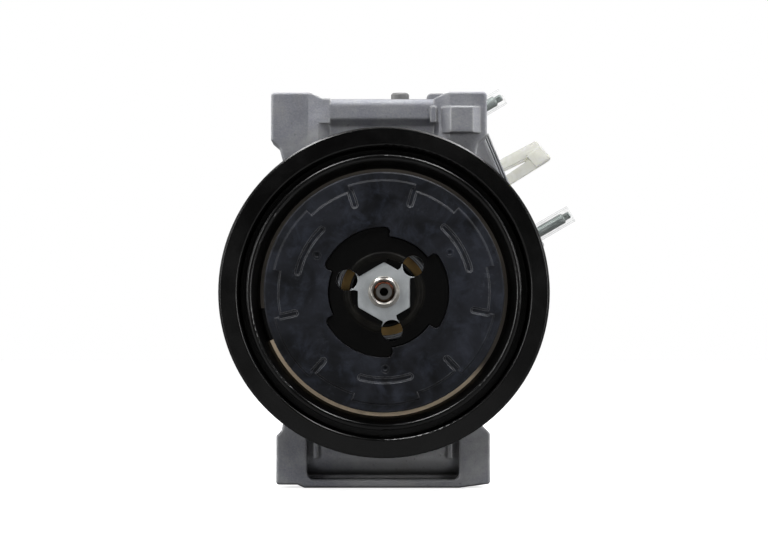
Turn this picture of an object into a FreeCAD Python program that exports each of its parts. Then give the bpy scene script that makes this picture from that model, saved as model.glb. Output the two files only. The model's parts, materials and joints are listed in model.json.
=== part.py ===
"""Vehicle air-conditioning compressor with its electromagnetic clutch.

Frame: the shaft axis is Y, the clutch faces -Y, +X is right as seen from the clutch end and +Z is up.
The origin is on the shaft axis, in the front face of the hub flange. Lengths are millimetres, angles
are degrees counter-clockwise from +X as seen from the clutch end.
"""
import FreeCAD
import Part
import math
import os

V = FreeCAD.Vector

# ---- clearances ----
SLIDE_GAP = 0.1          # running gap between a shaft, rod or piston and its bore
FACE_GAP = 0.15          # gap between faces that turn past each other
LOOSE_GAP = 0.5          # bolt in its through hole

# ---- clutch hub and armature ----
SHAFT_THREAD_R = 4.0
SHAFT_TIP_R = 2.9        # flat of the shaft's end inside its cone
SHAFT_TIP_CONE = 1.2
SHAFT_SOCKET = 3.0       # hexagon socket, across flats
NUT_R = 6.0              # washer face of the nut
NUT_FLATS = 10.0
NUT_CORNER = NUT_FLATS / 2 / math.cos(math.radians(30))
NUT_THICK = 6.2
HUB_DISC_R = 20.2
HUB_STAR_HEIGHT = 1.9
HUB_DISC_THICK = 2.6
HUB_BARREL_R = 9.2
HUB_BARREL_END = 20.0
STAR_FLATS = 19.6        # across the flats of the star's hexagon
ARM_HALF = 2.7
HORN_ANGLE = 56.0         # tips of an arm, about its tool hole
HORN_BLUNT = 0.25
ARM_FLARE_START = 10.9
ARM_FILLET = 1.3
TOOL_HOLE_R = 4.0
TOOL_CIRCLE_R = 14.7
TOOL_ANGLE = 41.8        # first tool hole
THIRD = 120.0

RUBBER_FLOOR = 0.9       # front of the rubber beside the star
RUBBER_BEAD_IN = 12.6
RUBBER_BEAD_OUT = 15.1
RUBBER_BEAD_Y = -0.9
RUBBER_FRONT = -0.4
RUBBER_BACK = 5.0
RUBBER_GAP = 0.15        # rubber to the plate opening

PLATE_R = 45.3
PLATE_THICK = 1.6
PLATE_RIM_Y = -0.8       # front of the plate's rim
PLATEAU_RISE = 0.7
PLATEAU_EDGE = 5.8       # rim outside the plateau
TOOTH_EDGE = 3.4         # rim outside a tooth
TOOTH_HALF = 17.6
TOOTH_ANGLE = 31.0       # first of the six teeth
STEP_SLOPE = 0.6         # radial run of the plateau's sloping edge
TAB_R = 21.1             # plate opening at its three tabs
LOBE_R = 24.6            # plate opening at its three lobes
LOBE_HALF = 37.0
LOBE_ANGLE = 1.4
LOBE_CORNER = 1.9
GROOVE_WIDE = 2.5
GROOVE_DEEP = 0.7
GROOVE_SLOPE = 0.7       # run of a groove's wall for each unit of depth
GROOVE_LONG = 7.8
DIMPLE_R = 0.9
RIVET_R = 1.6
RIVET_CIRCLE_R = 28.8

ARMATURE_STEP = 0.3      # armature inside the plate's edge
ARMATURE_IN = 25.4
ARMATURE_THICK = 4.0
PULL_IN = 0.4            # travel of the armature to the rotor
AIR_LEFT = 0.1           # what is left of the air gap when it is pulled in

# ---- rotor and pulley ----
PULLEY_R = 62.5
PULLEY_FRONT = 0.6
PULLEY_WALL = 7.3
RIB_COUNT = 6
RIB_PITCH = 3.56
FLANGE_HIGH = 1.5        # flange above the ribs
RIB_DEEP = 2.8
FLANGE_THICK = 2.4
WEB_Y = 14.0
WEB_THICK = 4.5
PLATE_CLEAR = 1.5        # plate's edge to the rotor's wall
ROTOR_WALL = 5.2
ROTOR_CREST = 3.2        # crest of the lip, outside the wall's inner face
ROTOR_LIP_Y = 0.2
ROTOR_DISC_THICK = 3.5
ROTOR_BACK = 27.6
BEARING_SEAT_WALL = 3.5
FLUX_SLOTS = 6
FLUX_SLOT_WIDE = 2.4
FLUX_INNER_R = 35.2
FLUX_OUTER_EDGE = 4.4    # outer flux slots inside the rotor's wall
ARMATURE_SLOT_R = 38.8
FACING_UNDER = 1.3       # facing reaches this far under the plate's edge
FACING_THICK = 1.4
FACING_GAP_ANGLE = 195.2
FACING_GAP_HALF = 7.8

# ---- pulley bearing 30 x 52 x 20 ----
BEARING_BORE_R = 15.0
BEARING_R = 26.0
BEARING_WIDE = 20.0
INNER_RING_THICK = 3.4
OUTER_RING_THICK = 3.0
BALL_R = 3.1
BALL_COUNT = 12
BALL_ROW = 4.6           # each row from the bearing's middle
SEAL_THICK = 0.8

# ---- field coil ----
COIL_GAP = 0.9           # coil to the rotor inside and outside it
COIL_WALL = 1.6
COIL_FRONT = 10.4
COIL_PLATE_Y = 29.6
COIL_PLATE_THICK = 2.2
COIL_PLATE_BORE = 24.0

# ---- front housing ----
NOSE_WALL = 3.0
NOSE_FRONT = 5.5
NOSE_BOSS_R = 24.0
RING_GROOVE_DEEP = 1.9
SNAP_RING_OVER = 1.3     # snap ring stands this far over the bearing's bore
SNAP_RING_THICK = 1.6
HOUSING_FACE = 33.0
BARREL_R = 59.5
BARREL_START = 48.0
CRANK_WALL = 6.0
CRANK_FRONT = 44.0
BLOCK_FRONT = 92.0       # front housing meets the cylinder block
BLOCK_BACK = 140.0
MOUNT_BORE_R = 4.25
MOUNT_UPPER_Z = 68.0
MOUNT_LOWER_Z = -63.3
EAR_FRONT = 33.5
EAR_BACK = 56.5
CAST_ROUND = 0.8         # rounding of the cast ears' front edges
PAD_LEFT = 25.7          # square pad on the upper right ear
PAD_RIGHT = 34.5
PAD_LOW = 62.4
PAD_HIGH = 72.6
PAD_OUT = 4.6
TOP_LEFT = -43.9
TOP_RIGHT = 40.0
TOP_Z = 78.2
BAR_Z = 76.0
BAR_LEFT = -21.0         # the ears slope into the bar here
BAR_RIGHT = 19.4
BAR_STEP = 2.2           # bar behind the ears' front
BAR_RECESS = 4.6         # wall under the bar behind the ears' front
BAR_UNDER_Z = 67.3
LOW_LEFT = -41.8
LOW_RIGHT = 41.1
LOW_EAR_LEFT_IN = -29.9
LOW_EAR_RIGHT_IN = 29.1
LOW_EAR_Z = -74.0
FOOT_Z = -75.2
TUBE_R = 7.2
POCKET_FLOOR = -71.9
REAR_FOOT_HALF = 30.0
MOUNT_REAR_SET = 24.0    # rear mounting bore behind the rear housing's front face

# ---- shaft and swash mechanism ----
SEAL_JOURNAL_R = 8.2
SHAFT_R = 9.0
SHAFT_SHOULDER_Y = 94.0  # the thick part of the shaft ends here
THRUST_THICK = 2.1
THRUST_WASHER = 0.8
SEAL_GROOVE_STEP = 0.9   # seal groove outside the crankcase bore
SEAL_GROOVE_WIDE = 2.0
SEAL_GROOVE_DEEP = 1.5
SPRING_CLIP_THICK = 1.2
SPLINE_R = 5.2
SPLINE_TIP_R = 6.0
SPLINE_COUNT = 10
SPLINE_WIDE = 1.6
SHAFT_END = 122.0
REAR_JOURNAL_R = 7.5
LUG_PLATE_Y = 50.6
LUG_PLATE_THICK = 5.4
LUG_PLATE_R = 40.0
LINK_PIN_R = 2.5
LINK_RISE = 11.0         # link pin above the shaft's surface
LINK_Y = 61.0
LINK_ARM = 5.0           # thickness of each of the lug plate's arms
LINK_HALF = 13.0         # outside of the arms from the middle
SWASH_Y = 72.0
SWASH_THICK = 7.0
SWASH_R = 46.2
SWASH_HUB_WALL = 8.0
SWASH_SLEEVE_WALL = 2.9
JOURNAL_WALL = 3.0       # needle bearing outside its journal
SLEEVE_HALF = 8.0
PISTON_COUNT = 7
PISTON_R = 15.0
PISTON_CIRCLE_R = 38.5
PISTON_HEAD_LONG = 30.0
HEAD_GAP = 0.7           # piston crown to the reed at this stroke setting
SHOE_R = 7.4
YOKE_WIDE = 15.0
YOKE_THICK = 5.6
YOKE_GAP = 1.1           # piston yoke to the crankcase wall
YOKE_ARM = 6.6
YOKE_REACH = 31.0        # the yoke's arms end this far from the shaft axis

# ---- valve plate and rear housing ----
REED_THICK = 0.4
VALVE_PLATE_THICK = 3.0
GASKET_THICK = 0.6
REAR_LONG = 44.0
REAR_WALL = 6.0
VALVE_HOLE_R = 3.2
CENTRE_BOLT_R = 3.0
RELIEF_HEAD_R = 3.7
RELIEF_R = 3.0           # pressure relief valve on the cylinder block
RELIEF_X = 6.6
RELIEF_Y = 102.0
BOLT_R = 3.0
BOLT_INSET = 3.0         # bolts inside the crankcase bore
BOLT_HEAD_R = 5.2
BOLT_HEAD_THICK = 5.0
PORT_ANGLE = 30.0        # the port face looks out and up at this angle
PORT_FACE = 70.5
PORT_MID = 21.0          # middle of the port face, along the face
PORT_HALF = 36.0
SIDE_WALL_ANGLE = 22.5   # the side wall looks out and up at this angle
SIDE_WALL_FACE = 66.7
SIDE_WALL_TOP = 47.0     # its upper end, along the wall
SIDE_WALL_Y = 122.0
PORT_WIDE = 26.0         # radial depth of the port block
SUCTION_R = 8.6
DISCHARGE_R = 7.2
PORT_SPACING = 21.0
PORT_DEEP = 14.0
STUD_R = 2.4
STUD_SPACING = 58.8
STUD_OUT = 17.5
STUD_DRIVE_R = 1.5
STUD_DRIVE_LONG = 3.0
SLEEVE_WALL = 0.6
PLUG_TIP = 20.7          # the plug's pull loop above the port face
VALVE_R = 8.0
VALVE_X = -22.0
VALVE_Z = -24.0

MOUNT_Y = (EAR_FRONT + EAR_BACK) / 2
PLATEAU_R = PLATE_R - PLATEAU_EDGE
TOOTH_R = PLATE_R - TOOTH_EDGE
GROOVE_OUT = TOOTH_R - 0.9
GROOVE_IN = GROOVE_OUT - GROOVE_LONG
ROTOR_WALL_IN = PLATE_R + PLATE_CLEAR
ROTOR_CREST_IN = ROTOR_WALL_IN + ROTOR_CREST
ROTOR_R = ROTOR_WALL_IN + ROTOR_WALL
FLUX_OUTER_R = ROTOR_WALL_IN - FLUX_OUTER_EDGE
FACING_IN = PLATE_R - FACING_UNDER
SLEEVE_R = BEARING_R + BEARING_SEAT_WALL
COIL_IN = SLEEVE_R + COIL_GAP
COIL_OUT = ROTOR_WALL_IN - COIL_GAP
NOSE_BORE_R = BEARING_BORE_R - NOSE_WALL
RING_GROOVE_R = BEARING_BORE_R - RING_GROOVE_DEEP
SNAP_RING_R = BEARING_BORE_R + SNAP_RING_OVER
INNER_RING_R = BEARING_BORE_R + INNER_RING_THICK
OUTER_RING_IN = BEARING_R - OUTER_RING_THICK
CRANK_R = BARREL_R - CRANK_WALL
SEAL_GROOVE_IN = CRANK_R + SEAL_GROOVE_STEP
SEAL_GROOVE_OUT = SEAL_GROOVE_IN + SEAL_GROOVE_WIDE
BOLT_CIRCLE_R = CRANK_R - BOLT_INSET
YOKE_OUT = CRANK_R - YOKE_GAP
YOKE_IN = YOKE_OUT - YOKE_THICK
ARMATURE_R = PLATE_R - ARMATURE_STEP
PULLEY_BORE_R = PULLEY_R - PULLEY_WALL
RIB_TIP_R = PULLEY_R - FLANGE_HIGH
RIB_ROOT_R = RIB_TIP_R - RIB_DEEP
AIR_GAP = PULL_IN + AIR_LEFT
FRICTION_Y = PLATE_RIM_Y + PLATE_THICK + ARMATURE_THICK + AIR_GAP
ARMATURE_Y = PLATE_RIM_Y + PLATE_THICK
BEARING_Y = NOSE_FRONT + SNAP_RING_THICK + 0.5
BEARING_END = BEARING_Y + BEARING_WIDE
RIBS_Y = PULLEY_FRONT + FLANGE_THICK + 1.2
PULLEY_BACK = RIBS_Y + RIB_COUNT * RIB_PITCH + FLANGE_THICK
SUCTION_REED_Y = BLOCK_BACK
VALVE_PLATE_Y = SUCTION_REED_Y + REED_THICK
DISCHARGE_REED_Y = VALVE_PLATE_Y + VALVE_PLATE_THICK
REAR_Y = DISCHARGE_REED_Y + REED_THICK + GASKET_THICK
REAR_END = REAR_Y + REAR_LONG
PORT_Y = REAR_Y + REAR_LONG / 2
MOUNT_REAR_Y = REAR_Y + MOUNT_REAR_SET
NEEDLE_R = SHAFT_R + JOURNAL_WALL
REAR_NEEDLE_R = REAR_JOURNAL_R + JOURNAL_WALL
LINK_Z = SHAFT_R + LINK_RISE
SWASH_HUB_R = SHAFT_R + SWASH_HUB_WALL
SWASH_SLEEVE_R = SHAFT_R + SWASH_SLEEVE_WALL
SPRING_CLIP_Y = BLOCK_FRONT - 2.4
PISTON_BACK = BLOCK_BACK - HEAD_GAP
PISTON_FRONT = PISTON_BACK - PISTON_HEAD_LONG


# ---- shape helpers ----
def wire(points, place):
    """Closed wire through points (u, v) or (u, v, corner radius); place turns (u, v) into a vector."""
    flat = [V(p[0], p[1], 0) for p in points]
    ends = []
    for i, p in enumerate(points):
        here, back, ahead = flat[i], flat[i - 1], flat[(i + 1) % len(flat)]
        if len(p) < 3:
            ends.append((here, None, here))
            continue
        a, b = (back - here).normalize(), (ahead - here).normalize()
        half = a.getAngle(b) / 2
        reach = p[2] / math.tan(half)
        middle = here + (a + b).normalize() * (p[2] / math.sin(half))
        ends.append((here + a * reach, middle + (here - middle).normalize() * p[2], here + b * reach))
    edges = []
    for i, (start, mid, end) in enumerate(ends):
        if mid is not None:
            edges.append(Part.Arc(place(start), place(mid), place(end)).toShape())
        following = ends[(i + 1) % len(ends)][0]
        if (following - end).Length > 1e-6:
            edges.append(Part.LineSegment(place(end), place(following)).toShape())
    return Part.Wire(edges)


def lathe(points):
    """Solid turned about the shaft axis from an outline of (radius, y)."""
    face = Part.Face(wire(points, lambda p: V(p.x, p.y, 0)))
    return face.revolve(V(0, 0, 0), V(0, 1, 0), 360)


def prism_y(points, start, end):
    face = Part.Face(wire(points, lambda p: V(p.x, start, p.y)))
    return face.extrude(V(0, end - start, 0))


def prism_z(points, low, high):
    """Extrudes an outline of (x, y) upwards."""
    face = Part.Face(wire(points, lambda p: V(p.x, p.y, low)))
    return face.extrude(V(0, 0, high - low))


def prism_x(points, start, end):
    face = Part.Face(wire(points, lambda p: V(start, p.x, p.y)))
    return face.extrude(V(end - start, 0, 0))


def rod_y(radius, start, end, x=0.0, z=0.0):
    return Part.makeCylinder(radius, end - start, V(x, start, z), V(0, 1, 0))


def rod_x(radius, start, end, y, z):
    return Part.makeCylinder(radius, end - start, V(start, y, z), V(1, 0, 0))


def tube(inner, outer, start, end):
    return rod_y(outer, start, end).cut(rod_y(inner, start - 1, end + 1))


def box(x0, x1, y0, y1, z0, z1):
    return Part.makeBox(x1 - x0, y1 - y0, z1 - z0, V(x0, y0, z0))


def polar(radius, angle):
    return radius * math.cos(math.radians(angle)), radius * math.sin(math.radians(angle))


def turned(shape, angle):
    """A copy turned counter-clockwise about the shaft, as seen from the clutch end."""
    copy = shape.copy()
    copy.rotate(V(0, 0, 0), V(0, -1, 0), angle)
    return copy


def around(shape, count, start=0.0):
    return [turned(shape, start + i * 360.0 / count) for i in range(count)]


def fused(first, *rest):
    return first.fuse(list(rest)).removeSplitter()


def sector(radius, half, start, end):
    """Pie slice about +X, half degrees to each side."""
    x, z = polar(radius, half)
    arc = Part.Arc(V(x, start, -z), V(radius, start, 0), V(x, start, z)).toShape()
    sides = [Part.LineSegment(V(0, start, 0), V(x, start, -z)).toShape(),
             Part.LineSegment(V(x, start, z), V(0, start, 0)).toShape()]
    return Part.Face(Part.Wire([sides[0], arc, sides[1]])).extrude(V(0, end - start, 0))


def soften(shape, radius, chosen):
    """Fillets the edges for which chosen(edge) is true."""
    edges = [e for e in shape.Edges if chosen(e)]
    return shape.makeFillet(radius, edges) if edges else shape


def along_y(edge):
    """True for a straight edge parallel to the shaft."""
    ends = [v.Point for v in edge.Vertexes]
    if len(ends) < 2 or not isinstance(edge.Curve, (Part.Line, Part.LineSegment)):
        return False
    return math.hypot(ends[0].x - ends[1].x, ends[0].z - ends[1].z) < 1e-6


def radius_of(point):
    return math.hypot(point.x, point.z)


def save(name, shape):
    solids = shape.Solids
    for s in solids:
        if not s.isValid() or s.Volume <= 0:
            print("problem solid in", name, s.isValid(), round(s.Volume, 2))
    kept = solids[0] if len(solids) == 1 else Part.makeCompound(solids)
    kept.exportStep("parts/%s.step" % name)


def group(shapes):
    return Part.makeCompound(shapes)


# ---- clutch hub ----
def spline(extra):
    """Splined shaft end; extra is added all round for the hub's bore."""
    half = SPLINE_WIDE / 2 + extra
    tooth = box(0, SPLINE_TIP_R + extra, 1.2, HUB_BARREL_END + 1, -half, half)
    core = rod_y(SPLINE_R + extra, 1.2, HUB_BARREL_END + 1)
    return fused(core, *around(tooth, SPLINE_COUNT))


def tool_holes(radius, start, end):
    x, z = polar(TOOL_CIRCLE_R, TOOL_ANGLE)
    return around(rod_y(radius, start, end, x, z), 3)


def star(start, end):
    """Hexagon with three arms, each ending in two horns on its tool hole."""
    corner = STAR_FLATS / 2 / math.cos(math.radians(30))
    hexagon = prism_y([(*polar(corner, 30 + 60 * i), 1.0) for i in range(6)], start, end)
    reach = TOOL_HOLE_R + HORN_BLUNT
    tip = TOOL_CIRCLE_R - reach * math.cos(math.radians(HORN_ANGLE))
    half = reach * math.sin(math.radians(HORN_ANGLE))
    arm = prism_y([(0, -ARM_HALF), (ARM_FLARE_START, -ARM_HALF, ARM_FILLET), (tip, -half), (TOOL_CIRCLE_R, 0),
                   (tip, half), (ARM_FLARE_START, ARM_HALF, ARM_FILLET), (0, ARM_HALF)], start, end)
    body = fused(hexagon, *around(arm, 3, TOOL_ANGLE))
    return body.cut(tool_holes(TOOL_HOLE_R, start - 1, end + 1))


def hub_flange():
    back = HUB_STAR_HEIGHT + HUB_DISC_THICK
    body = lathe([(0, HUB_STAR_HEIGHT), (HUB_DISC_R, HUB_STAR_HEIGHT, 0.5), (HUB_DISC_R, back, 0.5),
                  (HUB_BARREL_R, back, 0.4), (HUB_BARREL_R, HUB_BARREL_END, 0.6), (0, HUB_BARREL_END)])
    body = fused(body, star(0, HUB_STAR_HEIGHT + 0.2))
    body = body.cut(tool_holes(TOOL_HOLE_R, -1, back + 1))
    body = body.cut(rod_y(SHAFT_THREAD_R + SLIDE_GAP, -1, 3))
    return body.cut(spline(SLIDE_GAP / 2))


def hub_rubber():
    outer = TAB_R - RUBBER_GAP
    lobe = LOBE_R - RUBBER_GAP
    trim = math.degrees(RUBBER_GAP / LOBE_R)
    body = lathe([(HUB_DISC_R - 7, RUBBER_FRONT), (outer, RUBBER_FRONT, 0.4), (outer, RUBBER_BACK, 0.4),
                  (HUB_DISC_R - 2, RUBBER_BACK), (HUB_DISC_R - 2, RUBBER_FRONT + 1), (HUB_DISC_R - 7, 1.0)])
    floor = rod_y(RUBBER_BEAD_IN + 1, RUBBER_FLOOR, HUB_STAR_HEIGHT)
    skin = tube(RUBBER_BEAD_IN, HUB_DISC_R, RUBBER_FRONT + 0.1, HUB_STAR_HEIGHT)
    bead = lathe([(RUBBER_BEAD_IN, HUB_STAR_HEIGHT - 0.4), (RUBBER_BEAD_IN, RUBBER_BEAD_Y, 1.0),
                  (RUBBER_BEAD_OUT, RUBBER_BEAD_Y, 1.0), (RUBBER_BEAD_OUT + 0.6, HUB_STAR_HEIGHT - 0.4)])
    lobes = [soften(sector(lobe, LOBE_HALF - trim, RUBBER_FRONT, RUBBER_BACK), LOBE_CORNER,
                    lambda e: along_y(e) and radius_of(e.Vertexes[0].Point) > TAB_R)]
    body = fused(body, floor, skin, bead, *around(lobes[0], 3, LOBE_ANGLE))
    hub_space = rod_y(HUB_DISC_R, HUB_STAR_HEIGHT, HUB_STAR_HEIGHT + HUB_DISC_THICK)
    behind = rod_y(HUB_DISC_R - 2, HUB_STAR_HEIGHT, RUBBER_BACK + 1)
    body = body.cut([hub_space, behind, star(RUBBER_BEAD_Y - 1, HUB_STAR_HEIGHT + 1)])
    return body.cut(tool_holes(TOOL_HOLE_R, RUBBER_BEAD_Y - 1, RUBBER_BACK + 1))


def shaft_nut():
    corner = NUT_CORNER
    hexagon = prism_y([polar(corner, 60 * i) for i in range(6)], -NUT_THICK, -1.0)
    cone = lathe([(0, -NUT_THICK), (NUT_FLATS / 2 - 0.2, -NUT_THICK), (corner + 0.3, -NUT_THICK + 1.0),
                  (corner + 0.3, -1.0), (0, -1.0)])
    washer = lathe([(0, -1.4), (NUT_R, -1.4, 0.4), (NUT_R, 0), (0, 0)])
    body = fused(hexagon.common(cone), washer)
    bore = lathe([(0, 1), (SHAFT_THREAD_R + SLIDE_GAP / 2, 1),
                  (SHAFT_THREAD_R + SLIDE_GAP / 2, -NUT_THICK + 0.8),
                  (SHAFT_THREAD_R + 0.9, -NUT_THICK - 0.1), (0, -NUT_THICK - 0.1)])
    return body.cut(bore)


# ---- armature ----
def opening(start, end):
    """The plate's three-lobed opening."""
    lobe = sector(LOBE_R, LOBE_HALF, start, end)
    lobe = soften(lobe, LOBE_CORNER, lambda e: along_y(e) and radius_of(e.Vertexes[0].Point) > TAB_R)
    return fused(rod_y(TAB_R, start, end), *around(lobe, 3, LOBE_ANGLE))


def groove_profile(middle, front):
    """Trapezium across a pressed groove, as (u, y) about middle, open to the front."""
    above = 0.5
    top = GROOVE_WIDE / 2 + above * GROOVE_SLOPE
    low = GROOVE_WIDE / 2 - GROOVE_DEEP * GROOVE_SLOPE
    return [(middle - top, front - above), (middle - low, front + GROOVE_DEEP),
            (middle + low, front + GROOVE_DEEP), (middle + top, front - above)]


def groove_end(x, z, front):
    cone_top = GROOVE_WIDE / 2 + 0.5 * GROOVE_SLOPE
    low = GROOVE_WIDE / 2 - GROOVE_DEEP * GROOVE_SLOPE
    return Part.makeCone(cone_top, low, GROOVE_DEEP + 0.5, V(x, front - 0.5, z), V(0, 1, 0))


def radial_groove(front):
    inner, outer = GROOVE_IN + GROOVE_WIDE / 2, GROOVE_OUT - GROOVE_WIDE / 2
    face = Part.Face(wire(groove_profile(0, front), lambda p: V(inner, p.y, p.x)))
    bar = face.extrude(V(outer - inner, 0, 0))
    return fused(bar, groove_end(inner, 0, front), groove_end(outer, 0, front))


def arc_groove(radius, half, front):
    face = Part.Face(wire(groove_profile(radius, front), lambda p: V(p.x, p.y, 0)))
    band = turned(face.revolve(V(0, 0, 0), V(0, -1, 0), 2 * half), -half)
    ends = [groove_end(*polar(radius, a), front) for a in (-half, half)]
    return fused(band, *ends)


def plateau():
    front = PLATE_RIM_Y - PLATEAU_RISE
    back = PLATE_RIM_Y + 0.1
    disc = lathe([(0, front), (PLATEAU_R, front), (PLATEAU_R + STEP_SLOPE, back), (0, back)])
    cone = lathe([(0, front), (TOOTH_R, front), (TOOTH_R + STEP_SLOPE, back), (0, back)])
    tooth = cone.common(sector(TOOTH_R + 2, TOOTH_HALF, front - 1, back + 1))
    return fused(disc, *around(tooth, 6, TOOTH_ANGLE))


def outer_front_edge(edge, front):
    """True for the edges of the teeth on the plate's front face."""
    return abs(edge.CenterOfMass.y - front) < 1e-6 and radius_of(edge.Vertexes[0].Point) > 30


def outer_plate():
    front = PLATE_RIM_Y - PLATEAU_RISE
    back = PLATE_RIM_Y + PLATE_THICK
    rim = lathe([(0, PLATE_RIM_Y), (PLATE_R, PLATE_RIM_Y, 0.6), (PLATE_R, back, 0.3), (0, back)])
    body = fused(rim, plateau())
    body = soften(body, 0.35, lambda e: outer_front_edge(e, front))
    cuts = [opening(front - 1, back + 1)]
    for i in range(3):
        odd = TOOTH_ANGLE + THIRD * i
        cuts.append(turned(arc_groove(GROOVE_IN, TOOTH_HALF - 1.5, front), odd))
        even = odd + THIRD / 2
        cuts += [turned(radial_groove(front), even + side * TOOTH_HALF) for side in (-1, 1)]
        x, z = polar(RIVET_CIRCLE_R, odd)
        cuts.append(rod_y(RIVET_R, front - 1, back + 1, x, z))
    return body.cut(cuts)


def flux_slots(radius, count, start, end):
    """Curved slots right through a disc, count of them, with equal bridges of 14 degrees."""
    half = 180.0 / count - 7.0
    ring = tube(radius - FLUX_SLOT_WIDE / 2, radius + FLUX_SLOT_WIDE / 2, start, end)
    return around(ring.common(sector(radius + FLUX_SLOT_WIDE, half, start, end)), count, 180.0 / count)


def armature_disc():
    back = ARMATURE_Y + ARMATURE_THICK
    body = lathe([(ARMATURE_IN, ARMATURE_Y), (ARMATURE_R, ARMATURE_Y), (ARMATURE_R, back, 0.4),
                  (ARMATURE_IN, back, 0.4)])
    body = body.cut(flux_slots(ARMATURE_SLOT_R, 3, ARMATURE_Y - 1, back + 1))
    x, z = polar(RIVET_CIRCLE_R, TOOTH_ANGLE)
    return body.cut(around(rod_y(RIVET_R, ARMATURE_Y - 1, back + 1, x, z), 3))


def armature_rivets():
    front = PLATE_RIM_Y - PLATEAU_RISE
    x, z = polar(RIVET_CIRCLE_R, TOOTH_ANGLE)
    shank = rod_y(RIVET_R, front, ARMATURE_Y + ARMATURE_THICK - 0.3, x, z)
    shank = shank.cut(Part.makeCone(DIMPLE_R, 0.3, 0.6, V(x, front, z), V(0, 1, 0)))
    return group(around(shank, 3))


# ---- rotor and pulley ----
def rotor():
    disc_back = FRICTION_Y + ROTOR_DISC_THICK
    body = lathe([(BEARING_R, FRICTION_Y + 1.2, 0.4), (SLEEVE_R, FRICTION_Y + 1.2), (SLEEVE_R, FRICTION_Y),
                  (ROTOR_WALL_IN, FRICTION_Y), (ROTOR_CREST_IN, ROTOR_LIP_Y, 1.2),
                  (ROTOR_R, ROTOR_LIP_Y, 0.9),
                  (ROTOR_R, ROTOR_BACK, 0.5), (ROTOR_WALL_IN, ROTOR_BACK), (ROTOR_WALL_IN, disc_back, 1.0),
                  (SLEEVE_R, disc_back, 1.0), (SLEEVE_R, ROTOR_BACK), (BEARING_R, ROTOR_BACK)])
    inner = flux_slots(FLUX_INNER_R, FLUX_SLOTS, FRICTION_Y - 1, disc_back + 1)
    outer = flux_slots(FLUX_OUTER_R, FLUX_SLOTS, FRICTION_Y - 1, disc_back + 1)
    return body.cut(inner + outer + [facing_space()])


def facing_space():
    return tube(FACING_IN, ROTOR_WALL_IN, FRICTION_Y, FRICTION_Y + FACING_THICK)


def rotor_facing():
    """Friction ring let into the rotor's face, with one gap."""
    gap = sector(ROTOR_R, FACING_GAP_HALF, FRICTION_Y - 1, FRICTION_Y + FACING_THICK + 1)
    return facing_space().cut(turned(gap, FACING_GAP_ANGLE))


def pulley_rim():
    bevel = 0.7
    outline = [(PULLEY_BORE_R, PULLEY_FRONT, 0.8), (PULLEY_R - bevel, PULLEY_FRONT + 0.15, 0.6),
               (PULLEY_R, PULLEY_FRONT + bevel), (PULLEY_R, RIBS_Y - 1.2, 0.3), (RIB_TIP_R, RIBS_Y - 0.4)]
    for i in range(RIB_COUNT):
        start = RIBS_Y + i * RIB_PITCH
        outline += [(RIB_TIP_R, start, 0.2), (RIB_ROOT_R, start + RIB_PITCH / 2 - 0.3, 0.2),
                    (RIB_ROOT_R, start + RIB_PITCH / 2 + 0.3, 0.2), (RIB_TIP_R, start + RIB_PITCH - 0.4, 0.2)]
    last = RIBS_Y + RIB_COUNT * RIB_PITCH
    outline += [(RIB_TIP_R, last), (PULLEY_R, last + 0.8, 0.3), (PULLEY_R, PULLEY_BACK, 0.8),
                (PULLEY_BORE_R, PULLEY_BACK, 0.6), (PULLEY_BORE_R, WEB_Y + WEB_THICK, 0.8),
                (ROTOR_R, WEB_Y + WEB_THICK), (ROTOR_R, WEB_Y), (PULLEY_BORE_R, WEB_Y, 0.8)]
    return lathe(outline)


# ---- pulley bearing ----
def ball_centres():
    middle = BEARING_Y + BEARING_WIDE / 2
    pitch = (INNER_RING_R + OUTER_RING_IN) / 2
    found = []
    for row in (-1, 1):
        for i in range(BALL_COUNT):
            x, z = polar(pitch, (i + row * 0.25) * 360.0 / BALL_COUNT)
            found.append(V(x, middle + row * BALL_ROW, z))
    return found


def races(shape):
    middle = BEARING_Y + BEARING_WIDE / 2
    pitch = (INNER_RING_R + OUTER_RING_IN) / 2
    cut = [Part.makeTorus(pitch, BALL_R + SLIDE_GAP, V(0, middle + row * BALL_ROW, 0),
                          V(0, 1, 0)) for row in (-1, 1)]
    return shape.cut(cut)


def bearing_ring(inner, outer):
    ring = lathe([(inner, BEARING_Y, 0.6), (outer, BEARING_Y, 0.4), (outer, BEARING_END, 0.4),
                  (inner, BEARING_END, 0.6)])
    return races(ring)


def bearing_cage():
    pitch = (INNER_RING_R + OUTER_RING_IN) / 2
    reach = BALL_ROW + BALL_R - 0.6
    middle = BEARING_Y + BEARING_WIDE / 2
    ring = tube(pitch - 0.8, pitch + 0.8, middle - reach, middle + reach)
    pockets = []
    for c in ball_centres():
        out = V(c.x, 0, c.z).normalize()
        pockets.append(Part.makeCylinder(BALL_R + SLIDE_GAP, 6.0, c - out * 3.0, out))
    return ring.cut(pockets)


def bearing_seals():
    seal_in, seal_out = INNER_RING_R + SLIDE_GAP, OUTER_RING_IN
    front = tube(seal_in, seal_out, BEARING_Y + 0.3, BEARING_Y + 0.3 + SEAL_THICK)
    back = tube(seal_in, seal_out, BEARING_END - 0.3 - SEAL_THICK, BEARING_END - 0.3)
    return group([front, back])


def snap_ring(inner, outer, start, thick, gap_angle, gap_half):
    ring = tube(inner, outer, start, start + thick)
    return ring.cut(turned(sector(outer + 2, gap_half, start - 1, start + thick + 1), gap_angle))


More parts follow.
